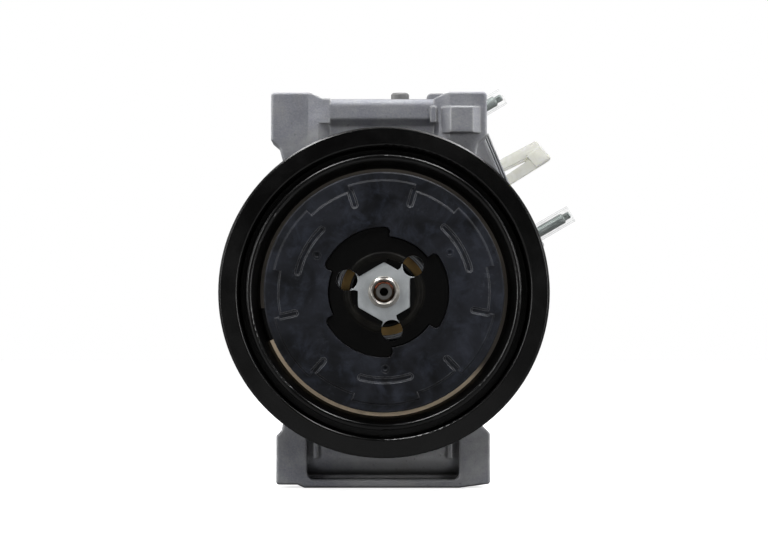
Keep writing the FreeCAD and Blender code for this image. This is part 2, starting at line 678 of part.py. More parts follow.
# ---- field coil ----
def coil_shell():
    end = COIL_PLATE_Y + COIL_PLATE_THICK
    return lathe([(COIL_PLATE_BORE + SLIDE_GAP, COIL_PLATE_Y), (COIL_IN, COIL_PLATE_Y), (COIL_IN, COIL_FRONT),
                  (COIL_IN + COIL_WALL, COIL_FRONT), (COIL_IN + COIL_WALL, COIL_PLATE_Y - 1.5),
                  (COIL_OUT - COIL_WALL, COIL_PLATE_Y - 1.5), (COIL_OUT - COIL_WALL, COIL_FRONT),
                  (COIL_OUT, COIL_FRONT), (COIL_OUT, end, 0.6), (COIL_PLATE_BORE + SLIDE_GAP, end)])


def coil_inside(margin, front, back):
    return tube(COIL_IN + COIL_WALL + margin, COIL_OUT - COIL_WALL - margin, front, back)


def coil_potting():
    body = coil_inside(0, COIL_FRONT + 0.6, COIL_PLATE_Y - 1.5)
    return body.cut(coil_inside(1.2, COIL_FRONT + 2.2, COIL_PLATE_Y - 3.0))


def coil_gland():
    """Moulded outlet where the coil's lead leaves the plate, on the upper left."""
    front = ROTOR_BACK + 1.2
    back = COIL_PLATE_Y + COIL_PLATE_THICK
    low = COIL_OUT + SLIDE_GAP
    block = prism_y([(low, -6, 1), (low + 7, -5, 1.5), (low + 7, 5, 1.5), (low, 6, 1)], front, back + 1.5)
    lead = Part.makeCylinder(1.7, 3.5, V(low + 6, (front + back + 1.5) / 2, 0), V(1, 0, 0))
    return turned(fused(block, lead), 152.0)


# ---- front housing ----
def front_edges(front):
    """Picks the edges of a face that looks at the clutch, other than its small corner arcs."""
    return lambda e: all(abs(v.Point.y - front) < 1e-6 for v in e.Vertexes)


def upper_mount(front, back):
    """Bar across the top with a square ear at each end, whose front slopes back into the bar."""
    left = prism_y([(TOP_LEFT, TOP_Z, 1.2), (TOP_LEFT, 59.5, 1.0), (TOP_LEFT + 3.2, 56.8, 1.0),
                    (TOP_LEFT + 5, 50),
                    (BAR_LEFT, 44), (BAR_LEFT, BAR_Z), (BAR_LEFT - 3, BAR_Z, 1.0),
                    (BAR_LEFT - 7.8, TOP_Z, 2.0)],
                   front, back)
    right = prism_y([(TOP_RIGHT, TOP_Z + 0.3, 1.6), (BAR_RIGHT + 5.8, TOP_Z + 0.3, 2.0), (BAR_RIGHT, BAR_Z),
                     (BAR_RIGHT, 44), (34, 44), (TOP_RIGHT - 3.4, 58.2, 1.0),
                     (TOP_RIGHT, 61.4, 1.0)], front, back)
    left, right = [soften(ear, CAST_ROUND, front_edges(front)) for ear in (left, right)]
    left = left.cut([ear_slope(BAR_LEFT, BAR_LEFT - 8.5, front, BAR_STEP, 44, 80),
                     ear_slope(BAR_LEFT, BAR_LEFT - 6.0, front, BAR_RECESS, 43, BAR_UNDER_Z - 1)])
    right = right.cut([ear_slope(BAR_RIGHT, BAR_RIGHT + 6.0, front, BAR_STEP, 44, 80),
                       ear_slope(BAR_RIGHT, BAR_RIGHT + 3.0, front, BAR_RECESS, 43, BAR_UNDER_Z - 1)])
    bar = prism_x([(front + BAR_STEP, BAR_UNDER_Z + 0.8, 1.2), (front + BAR_STEP, BAR_Z, 3.0),
                   (back - 1, BAR_Z, 2.5), (back - 1, 45), (front + BAR_RECESS, 45),
                   (front + BAR_RECESS, BAR_UNDER_Z - 2.0, 1.2)], BAR_LEFT - 1, BAR_RIGHT + 1)
    pad = prism_z([(PAD_LEFT - 3.4, front + 1), (PAD_LEFT, front - PAD_OUT), (PAD_RIGHT, front - PAD_OUT),
                   (PAD_RIGHT + 3.4, front + 1)], PAD_LOW, PAD_HIGH)
    pad = soften(pad, 0.5, lambda e: e.CenterOfMass.y < front - PAD_OUT + 0.1)
    rib = prism_y([(18.0, 66.6), (18.0, 73.0, 1.1), (20.4, 73.0, 1.1), (20.4, 66.6)], front + 0.6, front + 4)
    return fused(left, right, bar, pad, rib)


def ear_slope(inner, outer, front, deep, low, high):
    """What is cut from an ear's front so that it slopes back from outer to inner by deep."""
    return prism_z([(outer, front - 1), (outer, front), (inner, front + deep), (inner, front - 1)], low, high)


def lower_mount(front, back):
    """Two ears joined by a foot below, with the bolt tube behind the pocket between them."""
    outline = [(LOW_LEFT, LOW_EAR_Z, 1.2), (LOW_EAR_LEFT_IN - 3.6, LOW_EAR_Z),
               (LOW_EAR_LEFT_IN - 1, FOOT_Z, 1.0),
               (LOW_EAR_RIGHT_IN, FOOT_Z, 1.0), (LOW_RIGHT, LOW_EAR_Z + 0.4, 1.2), (LOW_RIGHT, -54, 1.5),
               (LOW_RIGHT - 4, -50, 1.5), (LOW_RIGHT - 6, -44), (LOW_LEFT + 4, -44), (LOW_LEFT + 2, -53, 1.0),
               (LOW_LEFT, -55, 1.0)]
    pocket = prism_y([(LOW_EAR_LEFT_IN, POCKET_FLOOR, 2.6), (LOW_EAR_RIGHT_IN, POCKET_FLOOR, 2.6),
                      (LOW_EAR_RIGHT_IN, -40), (LOW_EAR_LEFT_IN, -40)], front - 1, back + 1)
    frame = prism_y(outline, front, back)
    frame = soften(frame, CAST_ROUND, lambda e: front_edges(front)(e) and e.CenterOfMass.z < -45)
    frame = frame.cut(pocket)
    frame = soften(frame, CAST_ROUND, lambda e: front_edges(front)(e) and in_pocket(e))
    bolt_tube = rod_x(TUBE_R, LOW_EAR_LEFT_IN - 1, LOW_EAR_RIGHT_IN + 1, MOUNT_Y, MOUNT_LOWER_Z)
    web = box(LOW_EAR_LEFT_IN - 1, LOW_EAR_RIGHT_IN + 1, MOUNT_Y - TUBE_R, back, MOUNT_LOWER_Z + 1.2, -40)
    floor = box(LOW_EAR_LEFT_IN - 1, LOW_EAR_RIGHT_IN + 1, MOUNT_Y, back, FOOT_Z + 1.5, MOUNT_LOWER_Z)
    ribs = [box(x, x + 1.6, front + 2.4, back, MOUNT_LOWER_Z - 0.5, -46)
            for x in (LOW_EAR_LEFT_IN + 2.6, LOW_EAR_RIGHT_IN - 4.2)]
    return fused(frame, bolt_tube, web, floor, *ribs)


def in_pocket(edge):
    middle = edge.CenterOfMass
    across = LOW_EAR_LEFT_IN - 0.1 < middle.x < LOW_EAR_RIGHT_IN + 0.1
    return across and POCKET_FLOOR - 0.1 < middle.z < -45


def front_housing():
    body = lathe([(0, NOSE_FRONT), (RING_GROOVE_R, NOSE_FRONT, 0.3),
                  (RING_GROOVE_R, NOSE_FRONT + 0.5 + SNAP_RING_THICK),
                  (BEARING_BORE_R - 0.02, NOSE_FRONT + 0.5 + SNAP_RING_THICK),
                  (BEARING_BORE_R - 0.02, BEARING_END),
                  (22.8, BEARING_END), (22.8, COIL_PLATE_Y - 0.1), (NOSE_BOSS_R, COIL_PLATE_Y - 0.1),
                  (NOSE_BOSS_R, HOUSING_FACE, 0.8), (40, HOUSING_FACE, 4),
                  (BARREL_R - 1.5, BARREL_START - 3, 5),
                  (BARREL_R, BARREL_START + 6), (BARREL_R, BLOCK_FRONT), (0, BLOCK_FRONT)])
    body = fused(body, upper_mount(EAR_FRONT, EAR_BACK), lower_mount(EAR_FRONT, EAR_BACK))
    crank = lathe([(0, CRANK_FRONT), (36, CRANK_FRONT, 5), (CRANK_R, CRANK_FRONT + 9, 6),
                   (CRANK_R, BLOCK_FRONT + 1),
                   (0, BLOCK_FRONT + 1)])
    bearing_boss = lathe([(0, CRANK_FRONT - 1), (17, CRANK_FRONT - 1), (17, LUG_PLATE_Y - THRUST_THICK, 0.5),
                          (0, LUG_PLATE_Y - THRUST_THICK)])
    body = fused(body.cut(crank), bearing_boss)
    bolts = around(rod_y(BOLT_R + 5.0, CRANK_FRONT - 4, 62.0, BOLT_CIRCLE_R, 0), PISTON_COUNT, bolt_start())
    keep = rod_y(BARREL_R - 1, CRANK_FRONT - 4, 62.0).cut(rod_y(44.5, CRANK_FRONT - 5, 63.0))
    body = fused(body, *[b.common(keep) for b in bolts])
    bores = [rod_y(NOSE_BORE_R, NOSE_FRONT - 1, 37.4),
             rod_y(SEAL_JOURNAL_R + 1.0, 37.0, 40.0),
             rod_y(NEEDLE_R, 39.0, LUG_PLATE_Y),
             rod_x(MOUNT_BORE_R, TOP_LEFT - 1, TOP_RIGHT + 1, MOUNT_Y, MOUNT_UPPER_Z),
             rod_x(MOUNT_BORE_R, LOW_LEFT - 1, LOW_RIGHT + 1, MOUNT_Y, MOUNT_LOWER_Z)]
    bores += around(rod_y(BOLT_R, 46.0, BLOCK_FRONT + 1, BOLT_CIRCLE_R, 0), PISTON_COUNT, bolt_start())
    return body.cut(bores)


def bolt_start():
    """Through bolts stand midway between the cylinders."""
    return 90.0 + 180.0 / PISTON_COUNT


# ---- compressor core ----
def piston_angles():
    return [90.0 + i * 360.0 / PISTON_COUNT for i in range(PISTON_COUNT)]


def cylinder_block():
    body = lathe([(0, BLOCK_FRONT), (BARREL_R, BLOCK_FRONT, 0.8), (BARREL_R, BLOCK_BACK, 0.8),
                  (0, BLOCK_BACK)])
    boss = prism_y([(2.0, 55), (2.0, 77.0, 1), (11.5, 77.0, 1), (11.5, 55)], 96.0, 108.0)
    lug = prism_y([(17.5, 50), (17.5, 83.4, 2.0), (25.5, 83.4, 2.0), (25.5, 50)], 98.0, 112.0)
    ribs = [turned(box(BARREL_R - 3, BARREL_R + 2.0, BLOCK_FRONT + 1, BLOCK_BACK - 1, -1.5, 1.5), a)
            for a in (150.0, 180.0, 210.0, 330.0)]
    body = fused(body, boss, lug, side_wall(), *ribs)
    cuts = [turned(rod_y(PISTON_R, BLOCK_FRONT - 1, BLOCK_BACK + 1, PISTON_CIRCLE_R, 0),
                   a) for a in piston_angles()]
    cuts += around(rod_y(BOLT_R + LOOSE_GAP / 2, BLOCK_FRONT - 1, BLOCK_BACK + 1, BOLT_CIRCLE_R, 0),
                   PISTON_COUNT, bolt_start())
    cuts.append(rod_y(REAR_NEEDLE_R, BLOCK_FRONT - 1, SHAFT_END + 6))
    cuts.append(rod_y(SHAFT_R + 1.5, BLOCK_FRONT - 1, SHAFT_SHOULDER_Y + 1))
    cuts.append(rod_y(4.0, SHAFT_END, BLOCK_BACK + 1))
    cuts.append(Part.makeCylinder(RELIEF_R, 14.0, V(RELIEF_X, RELIEF_Y, 66.0), V(0, 0, 1)))
    cuts.append(tube(SEAL_GROOVE_IN, SEAL_GROOVE_OUT, BLOCK_FRONT - 1, BLOCK_FRONT + SEAL_GROOVE_DEEP))
    return body.cut(cuts)


def relief_valve():
    """Pressure relief valve screwed into the top of the cylinder block."""
    shank = Part.makeCylinder(RELIEF_R - SLIDE_GAP / 2, 10.0, V(RELIEF_X, RELIEF_Y, 67.0), V(0, 0, 1))
    head = Part.makeCylinder(RELIEF_HEAD_R, 6.8, V(RELIEF_X, RELIEF_Y, 77.0), V(0, 0, 1))
    head = head.makeChamfer(0.7, [e for e in head.Edges if e.CenterOfMass.z > 83])
    return fused(shank, head)


def drive_shaft():
    tip = -NUT_THICK + 0.5
    body = lathe([(0, tip), (SHAFT_TIP_R, tip), (SHAFT_THREAD_R, tip + SHAFT_TIP_CONE), (SHAFT_THREAD_R, 1.2),
                  (SPLINE_R, 1.2),
                  (SPLINE_R, HUB_BARREL_END + 1), (SEAL_JOURNAL_R, HUB_BARREL_END + 1, 0.5),
                  (SEAL_JOURNAL_R, 39.0),
                  (SHAFT_R, 39.0), (SHAFT_R, SHAFT_SHOULDER_Y), (REAR_JOURNAL_R, SHAFT_SHOULDER_Y),
                  (REAR_JOURNAL_R, SHAFT_END, 0.6),
                  (0, SHAFT_END)])
    body = fused(body, spline(0))
    socket_r = SHAFT_SOCKET / 2 / math.cos(math.radians(30))
    socket = prism_y([polar(socket_r, 60 * i) for i in range(6)], -NUT_THICK, 0)
    return body.cut(socket)


def shaft_seal():
    body = lathe([(SEAL_JOURNAL_R + FACE_GAP, 27.0), (NOSE_BORE_R, 27.0, 0.5), (NOSE_BORE_R, 34.0, 0.5),
                  (NOSE_BORE_R - 1.5, 34.0), (NOSE_BORE_R - 1.5, 28.5), (SEAL_JOURNAL_R + 1.6, 28.5),
                  (SEAL_JOURNAL_R + FACE_GAP, 31.5)])
    return body


def needle_bearing(inner, outer, start, end):
    """Drawn-cup bearing: the outer cup and its rollers."""
    cup = tube(outer - 1.0, outer, start, end)
    pitch = (inner + outer - 1.0) / 2
    roller_r = (outer - 1.0 - inner) / 2 - 0.06
    count = int(math.pi * pitch / roller_r * 0.9)
    rollers = around(rod_y(roller_r, start + 0.8, end - 0.8, pitch, 0), count)
    return group([cup] + rollers)


def lug_plate():
    end = LUG_PLATE_Y + LUG_PLATE_THICK
    boss = SHAFT_R + 7.0
    body = lathe([(SHAFT_R, LUG_PLATE_Y), (LUG_PLATE_R, LUG_PLATE_Y, 1), (LUG_PLATE_R, end, 1),
                  (boss, end, 1),
                  (boss, end + 2), (SHAFT_R, end + 2)])
    sides = (-LINK_HALF, LINK_HALF - LINK_ARM)
    arms = [prism_x([(end - 1, LINK_Z - 6), (LINK_Y + 1, LINK_Z - 5, 2), (LINK_Y + 4.5, LINK_Z + 1, 2),
                     (LINK_Y, LINK_Z + 5.5, 2), (end - 1, LINK_Z + 6.5)], x, x + LINK_ARM) for x in sides]
    weight = sector(YOKE_REACH - 1.0, 40, end - 0.5, end + 4.0).cut(rod_y(20, end - 2, end + 6))
    body = fused(body, turned(weight, 270), *arms)
    slots = [rod_x(LINK_PIN_R + SLIDE_GAP / 2, x - 1, x + LINK_ARM + 1, LINK_Y, LINK_Z) for x in sides]
    return body.cut(slots)


def link_pin():
    return rod_x(LINK_PIN_R, -LINK_HALF - 0.3, LINK_HALF + 0.3, LINK_Y, LINK_Z)


def swash_plate():
    front, back = SWASH_Y - SWASH_THICK / 2, SWASH_Y + SWASH_THICK / 2
    body = lathe([(SWASH_SLEEVE_R + SLIDE_GAP, front - 4), (SWASH_HUB_R, front - 4, 1), (SWASH_HUB_R, front),
                  (SWASH_R, front, 1),
                  (SWASH_R, back, 1), (SWASH_HUB_R, back), (SWASH_HUB_R, back + 4, 1),
                  (SWASH_SLEEVE_R + SLIDE_GAP, back + 4)])
    half = LINK_HALF - LINK_ARM - SLIDE_GAP
    ear = prism_x([(front + 1, LINK_Z - 7), (LINK_Y - 3.6, LINK_Z - 4, 2), (LINK_Y - 3.6, LINK_Z + 3.6, 2),
                   (LINK_Y + 1, LINK_Z + 6.5, 2), (front + 1, LINK_Z + 7)], -half, half)
    body = fused(body, ear)
    return body.cut(rod_x(LINK_PIN_R + SLIDE_GAP / 2, -9, 9, LINK_Y, LINK_Z))


def swash_sleeve():
    """Sliding sleeve on which the swash plate's hub rocks."""
    low, high = SWASH_Y - SLEEVE_HALF, SWASH_Y + SLEEVE_HALF
    return lathe([(SHAFT_R + SLIDE_GAP, low), (SWASH_SLEEVE_R, low, 0.5), (SWASH_SLEEVE_R, high, 0.5),
                  (SHAFT_R + SLIDE_GAP, high)])


def stroke_spring():
    """Coil spring behind the sleeve that sets the swash plate's least tilt."""
    wire_r, turns = 0.9, 3.5
    start, end = SWASH_Y + SLEEVE_HALF + wire_r, SPRING_CLIP_Y - wire_r
    height = end - start
    helix = Part.makeHelix(height / turns, height, SHAFT_R + 1.4)
    circle = Part.Wire(Part.makeCircle(wire_r, V(SHAFT_R + 1.4, 0, 0), V(0, 1, 0)))
    spring = Part.Wire(helix.Edges).makePipeShell([circle], True, True)
    spring.rotate(V(0, 0, 0), V(1, 0, 0), -90)
    spring.translate(V(0, start, 0))
    return spring


def spring_clip():
    """Ring on the shaft that the spring stands against."""
    return snap_ring(SHAFT_R + 0.02, SHAFT_R + 3.0, SPRING_CLIP_Y, SPRING_CLIP_THICK, 90, 8)


def thrust_bearing():
    """Washer and needle rollers that carry the lug plate."""
    start = LUG_PLATE_Y - THRUST_THICK
    race = start + THRUST_WASHER
    roller_r = (LUG_PLATE_Y - SLIDE_GAP - race) / 2
    roller = Part.makeCylinder(roller_r, 3.4, V(12.9, race + roller_r, 0), V(1, 0, 0))
    return group([tube(12.6, 16.8, start, race)] + around(roller, 20))


def piston(angle):
    """One piston with the yoke that straddles the swash plate's rim."""
    head = lathe_at(PISTON_R - SLIDE_GAP, PISTON_FRONT, PISTON_BACK)
    head = head.cut([ring_at(y) for y in (PISTON_BACK - 4.5, PISTON_BACK - 8.5)])
    front = SWASH_Y - SHOE_R - YOKE_ARM
    neck = box(YOKE_REACH, YOKE_OUT - 0.4, SWASH_Y + 4.2, PISTON_FRONT + 1, -YOKE_WIDE / 2, YOKE_WIDE / 2)
    neck = soften(neck, 2.0, along_y)
    bridge = box(YOKE_IN, YOKE_OUT, front, SWASH_Y + 8, -YOKE_WIDE / 2, YOKE_WIDE / 2)
    arm = box(YOKE_REACH, YOKE_OUT, front, SWASH_Y - 4.2, -YOKE_WIDE / 2, YOKE_WIDE / 2)
    limit = rod_y(CRANK_R - 0.8, front - 1, PISTON_BACK + 1)
    yoke = fused(neck, bridge, arm).common(limit)
    body = fused(head, yoke)
    hollow = Part.makeSphere(SHOE_R + SLIDE_GAP / 2, V(PISTON_CIRCLE_R, SWASH_Y, 0))
    lighten = box(PISTON_CIRCLE_R - 20, PISTON_CIRCLE_R + 20, PISTON_FRONT - 8, PISTON_FRONT - 1, -3, 3)
    return turned(body.cut([hollow, lighten.common(neck)]), angle)


def lathe_at(radius, start, end):
    """Piston head with chamfered ends, on the piston's own axis."""
    rod = rod_y(radius, start, end, PISTON_CIRCLE_R, 0)
    return rod.makeChamfer(0.6, [e for e in rod.Edges if isinstance(e.Curve, Part.Circle)])


def ring_at(y):
    groove = rod_y(PISTON_R + 2, y, y + 1.6, PISTON_CIRCLE_R, 0)
    return groove.cut(rod_y(PISTON_R - 1.2, y - 1, y + 3, PISTON_CIRCLE_R, 0))


def piston_rings():
    rings = []
    for angle in piston_angles():
        for y in (PISTON_BACK - 4.5, PISTON_BACK - 8.5):
            outer = rod_y(PISTON_R - 0.02, y + 0.1, y + 1.5, PISTON_CIRCLE_R, 0)
            rings.append(turned(outer.cut(rod_y(PISTON_R - 1.1, y - 1, y + 3, PISTON_CIRCLE_R, 0)), angle))
    return group(rings)


def piston_shoes():
    """Half-ball shoes on both faces of the swash plate, two to a piston."""
    ball = Part.makeSphere(SHOE_R - SLIDE_GAP / 2, V(PISTON_CIRCLE_R, SWASH_Y, 0))
    edge = SWASH_THICK / 2 + SLIDE_GAP
    plate = box(PISTON_CIRCLE_R - 20, PISTON_CIRCLE_R + 20, SWASH_Y - edge, SWASH_Y + edge, -20, 20)
    pair = ball.cut(plate)
    return group([s for a in piston_angles() for s in turned(pair, a).Solids])


# ---- valve plate and rear housing ----
def head_disc(start, end):
    """Disc of the head's outline with its bolt holes."""
    body = rod_y(BARREL_R, start, end)
    return body.cut(around(rod_y(BOLT_R + LOOSE_GAP / 2, start - 1, end + 1, BOLT_CIRCLE_R, 0), PISTON_COUNT,
                           bolt_start()))


def port_holes(radius_from_axis, start, end):
    return [turned(rod_y(VALVE_HOLE_R, start - 1, end + 1, radius_from_axis, 0), a) for a in piston_angles()]


def suction_reed():
    end = SUCTION_REED_Y + REED_THICK
    body = head_disc(SUCTION_REED_Y, end)
    slit = tube(VALVE_HOLE_R + 1.0, VALVE_HOLE_R + 1.8, SUCTION_REED_Y - 1, end + 1)
    slit.translate(V(PISTON_CIRCLE_R + 6.5, 0, 0))
    gap = slit.cut(box(PISTON_CIRCLE_R - 20, PISTON_CIRCLE_R + 6, SUCTION_REED_Y - 2, end + 2, -3, 3))
    cuts = [turned(gap, a) for a in piston_angles()]
    return body.cut(cuts + port_holes(PISTON_CIRCLE_R - 6.5, SUCTION_REED_Y, end))


def valve_plate():
    end = VALVE_PLATE_Y + VALVE_PLATE_THICK
    body = head_disc(VALVE_PLATE_Y, end)
    return body.cut(port_holes(PISTON_CIRCLE_R - 6.5, VALVE_PLATE_Y, end) + port_holes(PISTON_CIRCLE_R + 6.5,
                                                                                       VALVE_PLATE_Y, end))


def discharge_reeds():
    """Seven-armed reed over the discharge holes."""
    end = DISCHARGE_REED_Y + REED_THICK
    hub = rod_y(14.0, DISCHARGE_REED_Y, end)
    petal = fused(box(8, PISTON_CIRCLE_R - 6.5, DISCHARGE_REED_Y, end, -3.6, 3.6),
                  rod_y(4.4, DISCHARGE_REED_Y, end, PISTON_CIRCLE_R - 6.5, 0))
    body = fused(hub, *[turned(petal, a) for a in piston_angles()])
    return body.cut(rod_y(CENTRE_BOLT_R + SLIDE_GAP / 2, DISCHARGE_REED_Y - 1, end + 1))


def reed_stopper():
    """Retainer that limits the reeds' lift, with its bolt hole."""
    start = DISCHARGE_REED_Y + REED_THICK
    body = lathe([(CENTRE_BOLT_R + SLIDE_GAP / 2, start), (16, start), (36.0, start + 1.6),
                  (36.0, start + 3.4),
                  (16, start + 2.0), (CENTRE_BOLT_R + SLIDE_GAP / 2, start + 2.0)])
    return body


def centre_bolt():
    start = DISCHARGE_REED_Y + REED_THICK + 2.0
    head = prism_y([(*polar(5.6, 60 * i), 0.4) for i in range(6)], start, start + 4.0)
    return fused(head, rod_y(CENTRE_BOLT_R, DISCHARGE_REED_Y, start + 1))


def head_gasket():
    start = DISCHARGE_REED_Y
    body = head_disc(start, REAR_Y)
    return body.cut([rod_y(37.5, start - 1, REAR_Y + 1), tube(40.5, 46.0, start - 1, REAR_Y + 1).cut(
        around(box(38, 48, start - 2, REAR_Y + 2, -2, 2), PISTON_COUNT, bolt_start()))])


def port_frame(shape):
    """Moves a shape from a frame whose +Z leaves the port face to the port face itself."""
    copy = shape.copy()
    copy.rotate(V(0, 0, 0), V(0, 1, 0), 90.0 - PORT_ANGLE)
    return copy


def port_block():
    """Pad on the right of the rear housing that carries both ports, in the port's own frame."""
    x0, x1 = -PORT_MID - PORT_HALF, -PORT_MID + PORT_HALF
    face = PORT_FACE
    block = prism_y([(x0, face, 1.2), (x1, face, 1.2), (x1, face - 9, 2), (x1 - 8, face - PORT_WIDE - 12),
                     (x0 + 22, face - PORT_WIDE - 6), (x0, face - 9, 2)], REAR_Y, REAR_END - 1)
    channel = box(x0 + 3, x1 - 3, REAR_Y - 1, REAR_Y + 6, face - 4.4, face - 1.6)
    return port_frame(block.cut(channel))


def side_wall():
    """Thin slanted wall on the cylinder block, with two fine channels along its front edge."""
    turn = 90.0 - SIDE_WALL_ANGLE
    outer, low, high = SIDE_WALL_FACE, -SIDE_WALL_TOP, 4.0
    plate = box(low, high, SIDE_WALL_Y, BLOCK_BACK, outer - 2.6, outer)
    plate = soften(plate, 0.3, lambda e: abs(e.CenterOfMass.y - SIDE_WALL_Y) < 1e-6)
    lines = [box(low + 1, high - 1, SIDE_WALL_Y - 1, SIDE_WALL_Y + 3.5, outer - d - 0.5,
                 outer - d) for d in (0.55, 1.5)]
    web = box(low + 0.5, high, SIDE_WALL_Y + 6, BLOCK_BACK, 40.0, outer - 2.0)
    body = fused(plate.cut(lines), web)
    body.rotate(V(0, 0, 0), V(0, 1, 0), turn)
    return body


def port_axis(offset_y, radius, low, high):
    rod = Part.makeCylinder(radius, high - low, V(-PORT_MID, PORT_Y + offset_y, low), V(0, 0, 1))
    return port_frame(rod)


def stud_axis(side, radius, low, high):
    rod = Part.makeCylinder(radius, high - low, V(-PORT_MID + side * STUD_SPACING / 2, PORT_Y, low),
                            V(0, 0, 1))
    return port_frame(rod)


def rear_mount():
    """Foot under the rear housing with the third mounting bore."""
    front, back = MOUNT_REAR_Y - 11.0, MOUNT_REAR_Y + 11.0
    half = REAR_FOOT_HALF
    return prism_y([(-half, FOOT_Z, 1.5), (half, FOOT_Z, 1.5), (half, -60, 2), (half - 6, -44),
                    (6 - half, -44),
                    (-half, -60, 2)], front, back)


def rear_housing():
    body = lathe([(0, REAR_Y), (BARREL_R, REAR_Y, 0.8), (BARREL_R, REAR_END - 6, 4),
                  (BARREL_R - 8, REAR_END, 3),
                  (0, REAR_END)])
    valve_boss = rod_y(VALVE_R + 4, REAR_Y + 10, REAR_END + 5, VALVE_X, VALVE_Z)
    body = fused(body, port_block(), valve_boss, rear_mount())
    heads = around(rod_y(BOLT_HEAD_R + 2.2, REAR_Y, REAR_END - 6, BOLT_CIRCLE_R, 0), PISTON_COUNT,
                   bolt_start())
    discharge = lathe([(0, REAR_Y - 1), (36.5, REAR_Y - 1), (36.5, REAR_END - REAR_WALL - 8, 3),
                       (0, REAR_END - REAR_WALL - 8)])
    suction = tube(40.5, 46.0, REAR_Y - 1, REAR_END - REAR_WALL - 12)
    keep = rod_y(VALVE_R + 3.5, REAR_Y + 6, REAR_END + 6, VALVE_X, VALVE_Z)
    body = body.cut([discharge.cut(keep), suction.cut(fused(*heads))])
    cuts = around(rod_y(BOLT_R + LOOSE_GAP / 2, REAR_Y - 1, REAR_END + 1, BOLT_CIRCLE_R, 0), PISTON_COUNT,
                  bolt_start())
    cuts += around(rod_y(BOLT_HEAD_R + 1.0, REAR_END - 6, REAR_END + 8, BOLT_CIRCLE_R, 0), PISTON_COUNT,
                   bolt_start())
    cuts.append(rod_x(MOUNT_BORE_R, -REAR_FOOT_HALF - 1, REAR_FOOT_HALF + 1, MOUNT_REAR_Y, MOUNT_LOWER_Z))
    cuts += [port_axis(-PORT_SPACING / 2, SUCTION_R, PORT_FACE - PORT_DEEP, PORT_FACE + 1),
             port_axis(-PORT_SPACING / 2, 5.0, 42.0, PORT_FACE),
             port_axis(PORT_SPACING / 2, DISCHARGE_R, PORT_FACE - PORT_DEEP, PORT_FACE + 1),
             port_axis(PORT_SPACING / 2, 4.0, 30.0, PORT_FACE)]
    cuts += [stud_axis(side, STUD_R, PORT_FACE - 12, PORT_FACE + 1) for side in (-1, 1)]
    cuts.append(rod_y(VALVE_R + SLIDE_GAP / 2, REAR_Y + 14, REAR_END + 6, VALVE_X, VALVE_Z))
    cuts.append(rod_y(3.0, REAR_Y - 1, REAR_Y + 15, VALVE_X, VALVE_Z))
    return body.cut(cuts)


def through_bolts():
    seat = REAR_END - 6
    shank = rod_y(BOLT_R - 0.02, 48.0, seat + 1, BOLT_CIRCLE_R, 0)
    head = rod_y(BOLT_HEAD_R, seat, seat + BOLT_HEAD_THICK, BOLT_CIRCLE_R, 0)
    rim = [e for e in head.Edges if isinstance(e.Curve, Part.Circle) and e.CenterOfMass.y > seat + 1]
    head = head.makeFillet(0.6, rim)
    socket = prism_y([polar(2.9, 60 * i) for i in range(6)], seat + 2, seat + 8)
    socket.translate(V(BOLT_CIRCLE_R, 0, 0))
    return group(around(fused(shank, head).cut(socket), PISTON_COUNT, bolt_start()))


def control_valve():
    """Displacement control valve, a cartridge pushed in from the rear."""
    start, end = REAR_Y + 16, REAR_END + 3.4
    body = rod_y(VALVE_R, start, end, VALVE_X, VALVE_Z)
    grooves = [valve_ring(y, VALVE_R - 1.1, VALVE_R + 1) for y in (start + 4, start + 12, start + 20)]
    bore = rod_y(2.2, start - 1, end - 4, VALVE_X, VALVE_Z)
    windows = [box(VALVE_X - 9, VALVE_X + 9, start + 8, start + 10, VALVE_Z - 1.5, VALVE_Z + 1.5)]
    return body.cut(grooves + windows + [bore])


def valve_ring(y, inner, outer):
    ring = rod_y(outer, y, y + 1.8, VALVE_X, VALVE_Z)
    return ring.cut(rod_y(inner, y - 1, y + 3, VALVE_X, VALVE_Z))


def valve_seals():
    start = REAR_Y + 16
    return group([valve_ring(y, VALVE_R - 1.1, VALVE_R) for y in (start + 4, start + 12, start + 20)])


def valve_rod():
    start, end = REAR_Y + 16, REAR_END + 3.4
    return rod_y(2.2 - SLIDE_GAP, start + 1.5, end - 6, VALVE_X, VALVE_Z)


def valve_clip():
    y = REAR_END + 3.4
    ring = rod_y(VALVE_R + 0.02, y, y + 1.2, VALVE_X, VALVE_Z).cut(rod_y(VALVE_R - 2.0, y - 1, y + 3,
                                                                         VALVE_X, VALVE_Z))
    return ring.cut(box(VALVE_X - 2, VALVE_X + 2, y - 1, y + 3, VALVE_Z, VALVE_Z + 12))


# ---- ports ----
def port_studs():
    """Two studs with small drive ends, threaded into the port block."""
    shoulder = PORT_FACE + STUD_OUT - STUD_DRIVE_LONG
    found = []
    for side in (-1, 1):
        root = stud_axis(side, STUD_R, PORT_FACE - 11.5, shoulder)
        found.append(fused(root, stud_axis(side, STUD_DRIVE_R, shoulder - 1, PORT_FACE + STUD_OUT)))
    return group(found)


def stud_sleeves():
    """Clear protective sleeves that stand loose over the studs."""
    inner = STUD_R + 0.8
    found = []
    for side in (-1, 1):
        sleeve = stud_axis(side, inner + SLEEVE_WALL, PORT_FACE, PORT_FACE + STUD_OUT + 0.6)
        found.append(sleeve.cut(stud_axis(side, inner, PORT_FACE - 1, PORT_FACE + STUD_OUT + 2)))
    return group(found)


